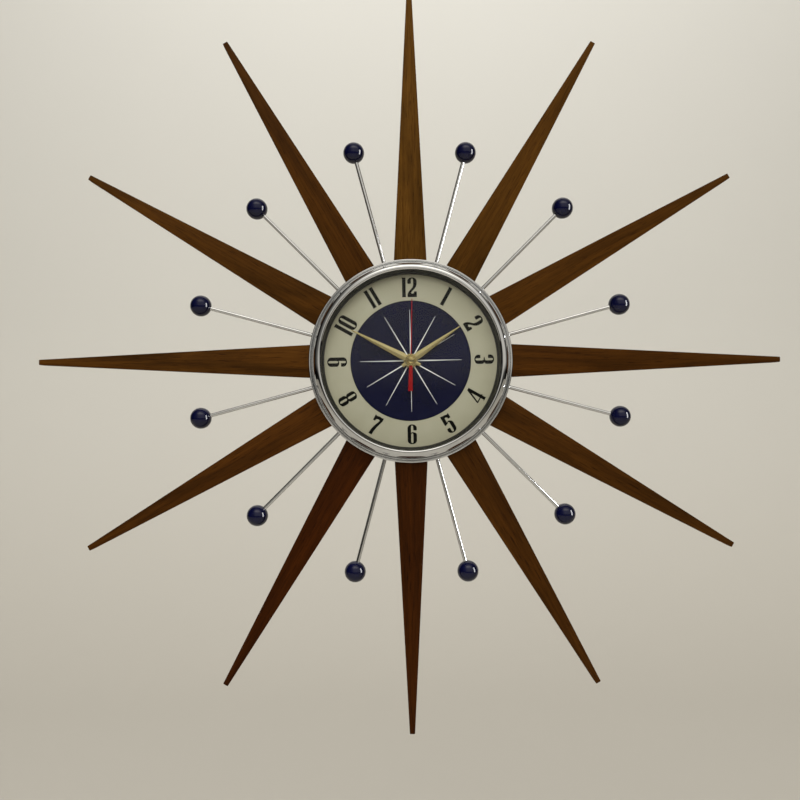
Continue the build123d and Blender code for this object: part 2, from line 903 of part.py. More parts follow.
# ---- all nodes -----------------------------------------------------------------------------------
def all_nodes():
    nodes = {
        "hub_board": hub_board(),
        "hanger_plate": hanger_plate(),
        "hanger_screws": Compound(hanger_screws()),
        "ray_screws": ray_screws(),
        "case_pan": case_pan(),
        "case_screws": Compound(case_screws()),
        "dial": dial(),
        "sight_ring": sight_ring(),
        "glass": glass(),
        "bezel": bezel(),
        "hour_hand": hour_hand(),
        "minute_hand": minute_hand(),
        "second_hand": second_hand(),
        "hand_cap": hand_cap(),
        "rubber_washer": rubber_washer(),
        "dial_washer": dial_washer(),
        "dial_nut": dial_nut(),
        "movement_case": movement_case(),
        "movement_cover": movement_cover(),
        "middle_plate": middle_plate(),
        "centre_wheel": centre_wheel(),
        "hour_wheel": hour_wheel(),
        "minute_wheel": minute_wheel(),
        "third_wheel": third_wheel(),
        "second_wheel": second_wheel(),
        "intermediate_wheel": intermediate_wheel(),
        "rotor": rotor(),
        "setting_knob": setting_knob(),
        "stator": stator(),
        "coil_bobbin": coil_bobbin(),
        "coil_winding": coil_winding(),
        "circuit_board": circuit_board(),
        "quartz_crystal": quartz_crystal(),
        "battery": battery(),
        "battery_contacts": Compound([contact_positive(), contact_negative()]),
    }
    nodes["ball_rods"] = Compound([rod(angle) for angle in rod_angles()])
    for index, angle in enumerate(ray_angles()):
        nodes[f"ray_{index + 1:02d}"] = ray(angle)
    for index, angle in enumerate(rod_angles()):
        nodes[f"ball_{index + 1:02d}"] = ball(angle)
    return nodes


def stand_up(shape):
    """Turn a piece from face up to hanging on the wall."""
    return Rot(90, 0, 0) * shape


os.makedirs("parts", exist_ok=True)
for name, shape in all_nodes().items():
    export_step(stand_up(shape), f"parts/{name}.step")
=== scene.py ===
"""Looks of the sunburst wall clock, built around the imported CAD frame.

Face-on drawings use x to the right, z up and a level, which is the distance out from the wall.
The dial faces -Y, so a level is minus the row frame's Y. Lengths are in metres; MM turns
millimetres into metres.
"""

import math

import bmesh
import bpy
from mathutils import Matrix, Vector
from mathutils.geometry import tessellate_polygon


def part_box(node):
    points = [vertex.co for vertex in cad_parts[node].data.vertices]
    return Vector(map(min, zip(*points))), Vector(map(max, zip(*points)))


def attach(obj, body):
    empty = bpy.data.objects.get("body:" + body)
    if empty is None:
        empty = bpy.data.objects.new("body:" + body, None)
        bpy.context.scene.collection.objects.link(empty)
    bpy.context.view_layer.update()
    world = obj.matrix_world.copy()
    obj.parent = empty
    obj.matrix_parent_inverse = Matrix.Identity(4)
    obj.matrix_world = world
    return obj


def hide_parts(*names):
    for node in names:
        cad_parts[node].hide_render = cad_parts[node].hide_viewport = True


MM = 0.001
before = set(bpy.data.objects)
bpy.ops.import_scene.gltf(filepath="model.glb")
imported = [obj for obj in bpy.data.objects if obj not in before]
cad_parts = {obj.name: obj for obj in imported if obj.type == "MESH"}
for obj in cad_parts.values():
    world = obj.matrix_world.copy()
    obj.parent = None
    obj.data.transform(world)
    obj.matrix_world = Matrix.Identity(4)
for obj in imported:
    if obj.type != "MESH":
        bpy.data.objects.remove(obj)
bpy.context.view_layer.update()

# ---- sizes read from the frame ----
HOURS = 12
HOUR_STEP = 2 * math.pi / HOURS


def outer_radius(node):
    """Reach of a node's box from the hands' axis, to the right."""
    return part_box(node)[1].x


def front_level(node):
    return -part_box(node)[0].y


def back_level(node):
    return -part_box(node)[1].y


bezel_radius = outer_radius("bezel")
bezel_back = back_level("bezel")
bezel_front = front_level("bezel")
dial_radius = outer_radius("dial")
dial_front = front_level("dial")
dial_back = back_level("dial")
glass_radius = outer_radius("glass")
glass_back = back_level("glass")
glass_front = front_level("glass")
sight_radius = outer_radius("sight_ring")
sight_front = front_level("sight_ring")
ray_back = back_level("ray_01")
ray_front = front_level("ray_01")
ray_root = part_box("ray_01")[0].z
ray_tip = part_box("ray_01")[1].z
ray_root_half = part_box("ray_01")[1].x
ball_low, ball_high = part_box("ball_01")
ball_centre = (ball_low + ball_high) / 2
ball_radius = (ball_high.y - ball_low.y) / 2
ball_circle = math.hypot(ball_centre.x, ball_centre.z)
rod_low, rod_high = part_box("ball_rods")
rod_radius = (rod_high.y - rod_low.y) / 2
sunburst_level = -ball_centre.y
pan_radius = outer_radius("case_pan")


# ---- mesh helpers ----
def add_mesh(name, vertices, faces, smooth_angle=35):
    """A mesh object with smooth faces and sharp edges where the surface turns by more than the angle."""
    mesh = bpy.data.meshes.new(name)
    mesh.from_pydata([tuple(v) for v in vertices], [], faces)
    finish_normals(mesh, smooth_angle)
    obj = bpy.data.objects.new(name, mesh)
    bpy.context.scene.collection.objects.link(obj)
    return obj


def finish_normals(mesh, smooth_angle=35):
    """Outward normals, smooth shading and sharp edges past the angle."""
    work = bmesh.new()
    work.from_mesh(mesh)
    bmesh.ops.remove_doubles(work, verts=work.verts, dist=1e-7)
    bmesh.ops.recalc_face_normals(work, faces=work.faces)
    work.to_mesh(mesh)
    work.free()
    mesh.shade_smooth()
    mesh.set_sharp_from_angle(angle=math.radians(smooth_angle))


def lathe(name, profile, segments=192, smooth_angle=35):
    """A turned closed piece: the profile is a closed loop of radius and level."""
    vertices = []
    for radius, level in profile:
        for step in range(segments):
            angle = 2 * math.pi * step / segments
            vertices.append((radius * math.sin(angle), -level, radius * math.cos(angle)))
    faces = []
    count = len(profile)
    for ring in range(count):
        following = (ring + 1) % count
        if profile[ring][0] == 0 and profile[following][0] == 0:
            continue
        first, second = ring * segments, following * segments
        for step in range(segments):
            turn = (step + 1) % segments
            faces.append((first + step, first + turn, second + turn, second + step))
    return add_mesh(name, vertices, faces, smooth_angle)


def arc(centre, radius, start, end, steps):
    """Points on an arc from one angle to another, in degrees from the first axis."""
    angles = [math.radians(start + (end - start) * i / steps) for i in range(steps + 1)]
    return [(centre[0] + radius * math.cos(a), centre[1] + radius * math.sin(a)) for a in angles]


def bend(first, middle, last, steps):
    """Points on the circle arc through three points."""
    (ax, ay), (bx, by), (cx, cy) = first, middle, last
    d = 2 * (ax * (by - cy) + bx * (cy - ay) + cx * (ay - by))
    a2, b2, c2 = ax * ax + ay * ay, bx * bx + by * by, cx * cx + cy * cy
    ux = (a2 * (by - cy) + b2 * (cy - ay) + c2 * (ay - by)) / d
    uy = (a2 * (cx - bx) + b2 * (ax - cx) + c2 * (bx - ax)) / d
    radius = math.hypot(ax - ux, ay - uy)
    angles = [math.degrees(math.atan2(y - uy, x - ux)) for x, y in (first, middle, last)]
    for i in (1, 2):
        while angles[i] - angles[i - 1] > 180:
            angles[i] -= 360
        while angles[i] - angles[i - 1] < -180:
            angles[i] += 360
    return arc((ux, uy), radius, angles[0], angles[2], steps)


def plate(name, shapes, back, front, smooth_angle=35):
    """Flat pieces between two levels. A shape is an outer loop and its holes, in x and z."""
    vertices, faces = [], []
    for loops in shapes:
        flat = [Vector((x, 0, z)) for loop in loops for x, z in loop]
        base = len(vertices)
        count = len(flat)
        vertices += [(v.x, -front, v.z) for v in flat]
        vertices += [(v.x, -back, v.z) for v in flat]
        polylines = [[Vector((x, z, 0)) for x, z in loop] for loop in loops]
        for a, b, c in tessellate_polygon(polylines):
            faces.append((base + a, base + b, base + c))
            faces.append((base + count + c, base + count + b, base + count + a))
        start = base
        for loop in loops:
            size = len(loop)
            for i in range(size):
                j = (i + 1) % size
                faces.append((start + i, start + j, start + count + j, start + count + i))
            start += size
    return add_mesh(name, vertices, faces, smooth_angle)


def fuse(obj, *others, smooth_angle=35):
    """Join closed pieces into one skin, and drop the others."""
    for other in others:
        modifier = obj.modifiers.new("union", "BOOLEAN")
        modifier.operation = "UNION"
        modifier.solver = "EXACT"
        modifier.object = other
    graph = bpy.context.evaluated_depsgraph_get()
    joined = bpy.data.meshes.new_from_object(obj.evaluated_get(graph))
    obj.modifiers.clear()
    obj.data = joined
    finish_normals(joined, smooth_angle)
    for other in others:
        bpy.data.objects.remove(other)
    return obj


def bevelled(obj, width, segments=3, angle=40):
    """Ease the edges that are sharper than the angle."""
    modifier = obj.modifiers.new("ease", "BEVEL")
    modifier.width = width
    modifier.segments = segments
    modifier.limit_method = "ANGLE"
    modifier.angle_limit = math.radians(angle)
    graph = bpy.context.evaluated_depsgraph_get()
    eased = bpy.data.meshes.new_from_object(obj.evaluated_get(graph))
    obj.modifiers.clear()
    obj.data = eased
    finish_normals(eased, 30)
    return obj


def turn_clockwise(obj, angle):
    """Turn an object about the hands' axis, clockwise as seen from the front."""
    obj.matrix_world = Matrix.Rotation(angle, 4, "Y")
    return obj


def place(obj, body, slot, material, *replaced):
    """Give a piece its material, its body and the CAD nodes that it stands for. The slot is not used."""
    obj.data.materials.clear()
    obj.data.materials.append(material)
    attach(obj, body)
    if replaced:
        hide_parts(*replaced)
    return obj


# ---- material helpers ----
class Nodes:
    """A material under construction, with short ways to add and join nodes."""

    def __init__(self, name):
        self.material = bpy.data.materials.new(name)
        self.material.use_nodes = True
        self.tree = self.material.node_tree
        self.shader = self.tree.nodes["Principled BSDF"]
        self.space = self.add("ShaderNodeTexCoord").outputs["Object"]

    def add(self, kind, **settings):
        node = self.tree.nodes.new(kind)
        for key, value in settings.items():
            setattr(node, key, value)
        return node

    def join(self, output, socket):
        self.tree.links.new(output, socket)

    def set(self, **values):
        for key, value in values.items():
            self.shader.inputs[key.replace("_", " ")].default_value = value
        return self

    def stretched(self, scale, offset=(0, 0, 0)):
        """The object's own coordinates, scaled by axis and shifted."""
        node = self.add("ShaderNodeMapping")
        node.inputs["Scale"].default_value = scale
        node.inputs["Location"].default_value = offset
        self.join(self.space, node.inputs["Vector"])
        return node.outputs["Vector"]

    def noise(self, vector, scale, detail=4, roughness=0.55, distortion=0):
        node = self.add("ShaderNodeTexNoise")
        node.inputs["Scale"].default_value = scale
        node.inputs["Detail"].default_value = detail
        node.inputs["Roughness"].default_value = roughness
        node.inputs["Distortion"].default_value = distortion
        self.join(vector, node.inputs["Vector"])
        return node.outputs["Fac"]

    def ramp(self, factor, stops):
        """Colours or greys blended along a factor. A stop is a position and a colour."""
        node = self.add("ShaderNodeValToRGB")
        elements = node.color_ramp.elements
        while len(elements) < len(stops):
            elements.new(0.5)
        for element, (position, colour) in zip(elements, stops):
            element.position = position
            element.color = (*colour, 1)
        self.join(factor, node.inputs["Fac"])
        return node.outputs["Color"]

    def mix(self, factor, first, second, blend="MIX"):
        node = self.add("ShaderNodeMix", data_type="RGBA", blend_type=blend)
        for socket, value in ((node.inputs["Factor"], factor), (node.inputs["A"], first)):
            self.feed(value, socket)
        self.feed(second, node.inputs["B"])
        return node.outputs["Result"]

    def feed(self, value, socket):
        if isinstance(value, bpy.types.NodeSocket):
            self.join(value, socket)
        elif isinstance(value, tuple):
            socket.default_value = (*value, 1)
        else:
            socket.default_value = value

    def math(self, operation, first, second=0.0):
        node = self.add("ShaderNodeMath", operation=operation)
        self.feed(first, node.inputs[0])
        self.feed(second, node.inputs[1])
        return node.outputs["Value"]

    def scaled(self, factor, low, high):
        """A 0 to 1 factor moved to a range."""
        node = self.add("ShaderNodeMapRange")
        node.inputs["To Min"].default_value = low
        node.inputs["To Max"].default_value = high
        self.join(factor, node.inputs["Value"])
        return node.outputs["Result"]

    def colour(self, output):
        self.join(output, self.shader.inputs["Base Color"])
        return self

    def roughness(self, output):
        self.join(output, self.shader.inputs["Roughness"])
        return self

    def bump(self, height, depth, strength=1.0):
        """Raise the surface by a height factor; depth is the height of 1, in metres."""
        node = self.add("ShaderNodeBump")
        node.inputs["Strength"].default_value = strength
        node.inputs["Distance"].default_value = depth
        self.join(height, node.inputs["Height"])
        self.join(node.outputs["Normal"], self.shader.inputs["Normal"])
        return self

    def axis_distance(self):
        """Distance from the hands' axis."""
        flat = self.add("ShaderNodeVectorMath", operation="MULTIPLY")
        flat.inputs[1].default_value = (1, 0, 1)
        self.join(self.space, flat.inputs[0])
        length = self.add("ShaderNodeVectorMath", operation="LENGTH")
        self.join(flat.outputs["Vector"], length.inputs[0])
        return length.outputs["Value"]


def shade(colour, factor):
    return tuple(channel * factor for channel in colour)


# ---- materials ----
def ray_wood(name, tone, seed):
    """Oiled walnut with the grain along local Z."""
    n = Nodes(name)
    offset = (seed * 0.37, seed * 0.11, seed * 0.53)
    figure = n.noise(n.stretched((46, 46, 5.5), offset), 1.0, 5, 0.6, 1.1)
    streak = n.noise(n.stretched((520, 520, 13), offset), 1.0, 4, 0.65)
    pores = n.noise(n.stretched((1700, 1700, 70), offset), 1.0, 2, 0.5)
    dark, middle, light = shade(tone, 0.55), tone, shade(tone, 1.5)
    base = n.ramp(figure, [(0.28, dark), (0.50, middle), (0.72, light)])
    fine = n.ramp(streak, [(0.30, (0.58, 0.52, 0.42)), (0.60, (1.0, 1.0, 1.0))])
    dots = n.ramp(pores, [(0.32, (0.30, 0.25, 0.2)), (0.42, (1.0, 1.0, 1.0))])
    toned = n.mix(0.8, base, fine, "MULTIPLY")
    n.colour(n.mix(0.8, toned, dots, "MULTIPLY"))
    n.roughness(n.scaled(streak, 0.42, 0.62))
    n.bump(n.math("ADD", streak, pores), 0.00010, 0.5)
    return n.set(Specular_IOR_Level=0.06).material


def hub_wood():
    """Stained birch plywood: veneers show as bands on the rim, and grain on the flat back."""
    n = Nodes("hub plywood")
    grain = n.noise(n.stretched((14, 60, 190)), 1.0, 5, 0.6, 0.6)
    veneer = n.noise(n.stretched((2, 520, 2)), 1.0, 1, 0.4)
    face = n.ramp(grain, [(0.32, (0.050, 0.024, 0.008)), (0.68, (0.150, 0.078, 0.030))])
    edge = n.ramp(veneer, [(0.42, (0.035, 0.016, 0.006)), (0.55, (0.21, 0.12, 0.052))])
    n.colour(n.mix(0.45, face, edge))
    n.roughness(n.scaled(grain, 0.5, 0.72))
    return n.bump(grain, 0.00012, 0.5).set(Specular_IOR_Level=0.3).material


def lacquer():
    """Very dark navy gloss lacquer with a faint ripple."""
    n = Nodes("navy lacquer")
    cloud = n.noise(n.stretched((60, 60, 60)), 1.0, 3)
    n.colour(n.ramp(cloud, [(0.3, (0.0016, 0.0022, 0.017)), (0.7, (0.0026, 0.0034, 0.027))]))
    n.roughness(n.scaled(cloud, 0.04, 0.09))
    return n.bump(cloud, 0.00004, 0.4).set(IOR=1.42).material


def chrome(name, polish_scale, low, high, relief=0.35):
    """Bright plated metal with fine polishing marks."""
    n = Nodes(name)
    marks = n.noise(n.stretched(polish_scale), 1.0, 3, 0.6)
    haze = n.noise(n.stretched((30, 30, 30)), 1.0, 3)
    n.colour(n.ramp(haze, [(0.3, (0.60, 0.61, 0.62)), (0.7, (0.74, 0.745, 0.75))]))
    n.roughness(n.scaled(marks, low, high))
    return n.bump(marks, 0.000006, relief).set(Metallic=1.0).material


def plated_steel():
    n = Nodes("zinc plated steel")
    marks = n.noise(n.stretched((90, 900, 900)), 1.0, 4)
    n.colour(n.ramp(marks, [(0.3, (0.36, 0.36, 0.37)), (0.7, (0.56, 0.56, 0.55))]))
    n.roughness(n.scaled(marks, 0.28, 0.5))
    return n.bump(marks, 0.00001, 0.4).set(Metallic=1.0).material


def cream_paint():
    """Satin cream dial, faintly mottled, with painted shade that makes it a little darker towards the rim.
    """
    n = Nodes("dial cream")
    rim = n.math("DIVIDE", n.axis_distance(), dial_radius)
    mottle = n.noise(n.stretched((45, 45, 45)), 1.0, 5, 0.6)
    grain = n.noise(n.stretched((1400, 1400, 1400)), 1.0, 2)
    # painted shade: the cream darkens towards the rim, where the bezel and sight ring shade it
    base = n.ramp(rim, [(0.74, (0.455, 0.437, 0.335)), (0.92, (0.430, 0.408, 0.300))])
    stain = n.ramp(mottle, [(0.30, (0.88, 0.88, 0.84)), (0.70, (1.0, 1.0, 1.0))])
    n.colour(n.mix(0.7, base, stain, "MULTIPLY"))
    n.roughness(n.scaled(mottle, 0.36, 0.5))
    return n.bump(grain, 0.000008, 0.5).set(Specular_IOR_Level=0.3).material


def navy_paint():
    n = Nodes("dial navy")
    cloud = n.noise(n.stretched((30, 30, 30)), 1.0, 4)
    n.colour(n.ramp(cloud, [(0.3, (0.0010, 0.0016, 0.018)), (0.7, (0.0016, 0.0026, 0.027))]))
    n.roughness(n.scaled(cloud, 0.2, 0.3))
    return n.bump(cloud, 0.00001, 0.3).set(IOR=1.36).material


def ink(name, dark, light, rough=0.45):
    """A thin printed colour, slightly uneven."""
    n = Nodes(name)
    spread = n.noise(n.stretched((700, 700, 700)), 1.0, 3)
    n.colour(n.ramp(spread, [(0.3, dark), (0.7, light)]))
    n.roughness(n.scaled(spread, rough, rough + 0.15))
    return n.set(Specular_IOR_Level=0.1).material


def moulded(name, dark, light, grain=1600, rough=0.42):
    """Moulded plastic or rubber with a fine skin texture."""
    n = Nodes(name)
    skin = n.noise(n.stretched((grain, grain, grain)), 1.0, 2)
    cloud = n.noise(n.stretched((70, 70, 70)), 1.0, 3)
    n.colour(n.ramp(cloud, [(0.3, dark), (0.7, light)]))
    n.roughness(n.scaled(skin, rough, rough + 0.16))
    return n.bump(skin, 0.00002, 0.5).material


def gilt(name, dark, light):
    """Satin gilt metal, brushed along the hand, which is local Z."""
    n = Nodes(name)
    brush = n.noise(n.stretched((2600, 2600, 60)), 1.0, 3)
    cloud = n.noise(n.stretched((120, 120, 40)), 1.0, 3)
    n.colour(n.ramp(cloud, [(0.3, dark), (0.7, light)]))
    n.roughness(n.scaled(brush, 0.14, 0.24))
    return n.bump(brush, 0.000006, 0.3).set(Metallic=1.0).material


def brass():
    n = Nodes("turned brass")
    rings = n.noise(n.stretched((900, 60, 900)), 1.0, 3)
    n.colour(n.ramp(rings, [(0.3, (0.50, 0.36, 0.14)), (0.7, (0.70, 0.53, 0.23))]))
    n.roughness(n.scaled(rings, 0.22, 0.4))
    return n.bump(rings, 0.000008, 0.4).set(Metallic=1.0).material


def copper_wire():
    """Fine enamelled wire wound about local Z."""
    n = Nodes("copper winding")
    wave = n.add("ShaderNodeTexWave", wave_type="BANDS", bands_direction="Z")
    wave.inputs["Scale"].default_value = 900
    wave.inputs["Distortion"].default_value = 0.3
    n.join(n.space, wave.inputs["Vector"])
    turns = wave.outputs["Fac"]
    n.colour(n.ramp(turns, [(0.2, (0.20, 0.055, 0.02)), (0.8, (0.62, 0.24, 0.10))]))
    n.roughness(n.scaled(turns, 0.5, 0.28))
    return n.bump(turns, 0.00008, 0.8).set(Metallic=0.8).material


def clear_glass():
    """Thin clear glass: it mirrors a little and shows what is behind it unbent."""
    n = Nodes("clear glass")
    tree = n.tree
    smear = n.noise(n.stretched((14, 14, 14)), 1.0, 3)
    gloss = n.add("ShaderNodeBsdfGlossy")
    n.join(n.scaled(smear, 0.02, 0.05), gloss.inputs["Roughness"])
    clear = n.add("ShaderNodeBsdfTransparent")
    clear.inputs["Color"].default_value = (0.975, 0.98, 0.975, 1)
    facing = n.add("ShaderNodeLayerWeight")
    facing.inputs["Blend"].default_value = 0.5
    grazing = n.math("POWER", facing.outputs["Facing"], 5.0)
    blend = n.add("ShaderNodeMixShader")
    n.join(n.scaled(grazing, 0.012, 1.0), blend.inputs["Fac"])
    n.join(clear.outputs["BSDF"], blend.inputs[1])
    n.join(gloss.outputs["BSDF"], blend.inputs[2])
    tree.nodes.remove(n.shader)
    n.join(blend.outputs["Shader"], tree.nodes["Material Output"].inputs["Surface"])
    return n.material


# ---- sunburst ----
RAY_EASING = 0.7 * MM
RAY_TIP_HALF = 2.6 * MM
RAY_TIP_ROUNDING = 0.8 * MM
# where the tip's rounding meets the leaning side, in degrees
RAY_SIDE_ANGLE = 176
# the rays' darkest and lightest tones: walnut with painted shade, and walnut with painted light
DARK_WALNUT_AND_SHADE = (0.037, 0.0088, 0.0006)
HONEY_WALNUT_AND_LIGHT = (0.096, 0.041, 0.0055)
# share of the honey tone in each ray, clockwise from twelve: partly each ray's own wood tone, partly
# painted light and shade, the upper rays lighter and the lower rays darker as if lit from above
RAY_TONE_AND_SHADE_SHARES = (1.0, 0.7, 0.5, 0.35, 0.4, 0.35, 0.05, 0.0, 0.3, 0.5, 0.5, 0.4)


def blended(first, second, share):
    return tuple(a + (b - a) * share for a, b in zip(first, second))


def ray_outline():
    """The ray at twelve: straight sides and a narrow tip with rounded corners."""
    corner = (RAY_TIP_ROUNDING - RAY_TIP_HALF, ray_tip - RAY_TIP_ROUNDING)
    left = arc(corner, RAY_TIP_ROUNDING, RAY_SIDE_ANGLE, 90, 6)
    right = [(-x, z) for x, z in reversed(left)]
    return [(ray_root_half, ray_root), (-ray_root_half, ray_root)] + left + right


def build_rays():
    for index in range(HOURS):
        number = f"{index + 1:02d}"
        ray = plate(f"walnut_ray_{number}", [[ray_outline()]], ray_back, ray_front)
        bevelled(ray, RAY_EASING)
        turn_clockwise(ray, index * HOUR_STEP)
        # painted light and shade: the lower rays take more of the dark tone, the upper rays more of the
        # honey tone
        tone = blended(DARK_WALNUT_AND_SHADE, HONEY_WALNUT_AND_LIGHT, RAY_TONE_AND_SHADE_SHARES[index])
        wood = ray_wood(f"walnut {number}", tone, index + 1)
        place(ray, "case", "ray_wood", wood, f"ray_{number}")


BALL_SEGMENTS = 96
ROD_SIDES = 40
# how far the rod goes into the ball, as a share of the ball's radius
ROD_DEPTH = 0.5
# the countersink round the rod: its radius as a share of the rod's, and its depth
MOUTH_SHARE = 1.25
MOUTH_DEPTH = 0.35 * MM
# the pieces that the window shows in
WINDOW_LIT = bpy.data.collections.new("window_lit")


def build_balls_and_rods():
    coat = lacquer()
    plating = chrome("rod chrome", (700, 700, 60), 0.05, 0.12)
    inner = rod_root()
    outer = ball_circle - ball_radius * ROD_DEPTH
    for index in range(HOURS):
        number = f"{index + 1:02d}"
        angle = (index + 0.5) * HOUR_STEP
        ball = ball_mesh(f"navy_ball_{number}")
        turn_clockwise(ball, angle)
        place(ball, "case", "ball_lacquer", coat, f"ball_{number}")
        rod = rod_mesh(f"chrome_rod_{number}", inner, outer)
        turn_clockwise(rod, angle)
        place(rod, "case", "chrome", plating, "ball_rods")
        for piece in (ball, rod):
            WINDOW_LIT.objects.link(piece)


def rod_root():
    """How far from the axis a rod starts inside the hub, read from the CAD rods."""
    return min(math.hypot(v.co.x, v.co.z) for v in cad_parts["ball_rods"].data.vertices)


def rings(profile, sides):
    """Rings of vertices round the rod at twelve and the faces between them, for radii and heights."""
    vertices, faces = [], []
    for radius, height in profile:
        for step in range(sides):
            angle = 2 * math.pi * step / sides
            x, y = radius * math.cos(angle), radius * math.sin(angle)
            vertices.append((x, y - sunburst_level, height))
    for ring in range(len(profile) - 1):
        for step in range(sides):
            a, b = ring * sides + step, ring * sides + (step + 1) % sides
            faces.append((a, b, b + sides, a + sides))
    return vertices, faces


def ball_mesh(name):
    """A ball with a small countersink where the rod goes in."""
    mouth = rod_radius * MOUTH_SHARE
    floor = MOUTH_DEPTH - math.sqrt(ball_radius**2 - mouth**2)
    start = math.degrees(math.asin(mouth / ball_radius))
    outside = arc((0, 0), ball_radius, start - 90, 90, 64)
    profile = [(0, floor), (rod_radius, floor)] + outside[:-1] + [(0, ball_radius)]
    vertices, faces = rings([(radius, height + ball_circle) for radius, height in profile], BALL_SEGMENTS)
    return add_mesh(name, vertices, faces, 40)


def rod_mesh(name, inner, outer):
    """A round rod along local Z, with flat ends."""
    vertices, faces = rings([(rod_radius, inner), (rod_radius, outer)], ROD_SIDES)
    faces.append(tuple(range(ROD_SIDES)))
    faces.append(tuple(range(2 * ROD_SIDES - 1, ROD_SIDES - 1, -1)))
    return add_mesh(name, vertices, faces, 40)


# ---- case ----
BEZEL_SEGMENTS = 256
BEAD_RADIUS = 1.1
LIP_INSET = 12.9
GLASS_SEAT_DEPTH = 1.7
GLASS_PLAY = 0.1 * MM


def above_back(inset, height):
    """A point on the bezel in millimetres: how far in from its rim, and above its back."""
    return bezel_radius - inset * MM, bezel_back + height * MM


def below_front(inset, depth):
    """The same, below its front."""
    return bezel_radius - inset * MM, bezel_front - depth * MM


def build_bezel():
    """Bead, groove, small second bead, groove, tall rounded band and rolled lip."""
    profile = arc(above_back(BEAD_RADIUS, BEAD_RADIUS), BEAD_RADIUS * MM, -90, 170, 22)
    profile += [above_back(2.25, 0.7), above_back(2.45, 0.9), above_back(3.05, 1.25)]
    profile += arc(above_back(3.55, 1.25), 0.5 * MM, 10, 170, 10)
    profile += [above_back(4.2, 0.7), above_back(4.6, 0.7)]
    profile += [above_back(4.8, 3.6), above_back(5.3, 4.6), above_back(5.7, 4.9)]
    crest = below_front(11.0, 0)
    profile += bend(below_front(5.9, 4.3), below_front(7.5, 1.6), crest, 26)
    profile += bend(crest, below_front(12.2, 0.25), below_front(LIP_INSET, 1.0), 10)[1:]
    profile += [
        below_front(LIP_INSET, GLASS_SEAT_DEPTH),
        (glass_radius + GLASS_PLAY, bezel_front - GLASS_SEAT_DEPTH * MM),
        (glass_radius + GLASS_PLAY, bezel_front - 5.6 * MM),
        (pan_radius, bezel_back + 7 * MM),
        (pan_radius, bezel_back),
    ]
    ring = lathe("polished_bezel", profile, BEZEL_SEGMENTS, 30)
    plating = chrome("bezel chrome", (300, 300, 300), 0.03, 0.08, 0.12)
    place(ring, "case", "chrome", plating, "bezel")


GLASS_THICKNESS = 2.0 * MM


def build_glass():
    """A shallow dome of even thickness."""
    rise = glass_front - glass_back - GLASS_THICKNESS
    ball = (glass_radius**2 + rise**2) / (2 * rise)
    steps = 30

    def dome(edge_level):
        radii = [glass_radius * i / steps for i in range(steps + 1)]
        return [(r, edge_level + rise - ball + math.sqrt(ball**2 - r**2)) for r in radii]

    profile = dome(glass_back) + list(reversed(dome(glass_back + GLASS_THICKNESS)))
    pane = lathe("domed_glass", profile, 192, 35)
    place(pane, "case", "clear_glass", clear_glass(), "glass")


# where the sight ring's flange ends and its wall begins, as shares of its radius; there the painted light
# of the flange turns to the painted shade of the wall
FLANGE_END = 0.962
WALL_START = 0.966


def sight_plastic():
    """Dark satin plastic ring; its flange on the dial is painted paler as painted light, and its wall
    darker still as painted shade.
    """
    n = Nodes("sight ring grey")
    skin = n.noise(n.stretched((900, 900, 900)), 1.0, 2)
    reach = n.math("DIVIDE", n.axis_distance(), sight_radius)
    # painted light on the flange and painted shade on the wall
    tone = n.ramp(reach, [(FLANGE_END, (0.035, 0.034, 0.028)), (WALL_START, (0.007, 0.007, 0.006))])
    shaded = n.ramp(skin, [(0.3, (0.85, 0.85, 0.85)), (0.7, (1.0, 1.0, 1.0))])
    n.colour(n.mix(1.0, tone, shaded, "MULTIPLY"))
    n.roughness(n.scaled(skin, 0.3, 0.45))
    return n.bump(skin, 0.00001, 0.4).set(Specular_IOR_Level=0.3).material


def build_sight_ring():
    """The dark ring between dial and glass, with a low flange on the dial."""
    inner_low = sight_radius - 4.9 * MM
    wall_foot = sight_radius - 3.3 * MM
    inner_high = sight_radius - 2.2 * MM
    step = dial_front + 0.9 * MM
    profile = [
        (inner_low, dial_front),
        (sight_radius, dial_front),
        (sight_radius, sight_front),
        (inner_high, sight_front),
        (inner_high - 0.2 * MM, sight_front - 0.8 * MM),
        (wall_foot + 0.1 * MM, step + 0.8 * MM),
        (wall_foot, step),
        (inner_low + 0.4 * MM, step - 0.1 * MM),
        (inner_low, step - 0.5 * MM),
    ]
    ring = lathe("sight_ring_skin", profile, 192, 35)
    place(ring, "case", "sight_plastic", sight_plastic(), "sight_ring")


# ---- numerals, drawn in millimetres from the middle of their foot ----
NUMERAL_HEIGHT = 19.6
NUMERAL_RADIUS = 72.9
# half a numeral's width, its thick and its thin stroke, and half the width of its counter
HALF = 4.6
STEM = 3.5
HAIR = 1.1
COUNTER = HALF - STEM
# heights of the rounded ends, outside and inside
NUMERAL_END = 3.7
COUNTER_END = 1.7


def quarter(centre_x, centre_z, half_width, height, start, steps=7):
    """A quarter of an oval, counterclockwise from the start angle in degrees."""
    angles = [math.radians(start + 90 * i / steps) for i in range(steps + 1)]
    return [(centre_x + half_width * math.cos(a), centre_z + height * math.sin(a)) for a in angles]


def half_oval(half_width, centre_z, height, start):
    """Half of an upright oval, counterclockwise from the start angle in degrees."""
    first = quarter(0, centre_z, half_width, height, start)
    return first + quarter(0, centre_z, half_width, height, start + 90)[1:]


def oval(half_width, z_low, z_high, end_height):
    """An upright loop with straight sides and rounded ends, counterclockwise."""
    top = half_oval(half_width, z_high - end_height, end_height, 0)
    return top + half_oval(half_width, z_low + end_height, end_height, 180)


def counter_end(centre_z, start):
    """A counter's rounded end, clockwise, without its first point."""
    return list(reversed(half_oval(COUNTER, centre_z, COUNTER_END, start)))[1:]


def half_turn(shapes):
    return [[[(-x, NUMERAL_HEIGHT - z) for x, z in loop] for loop in shape] for shape in shapes]


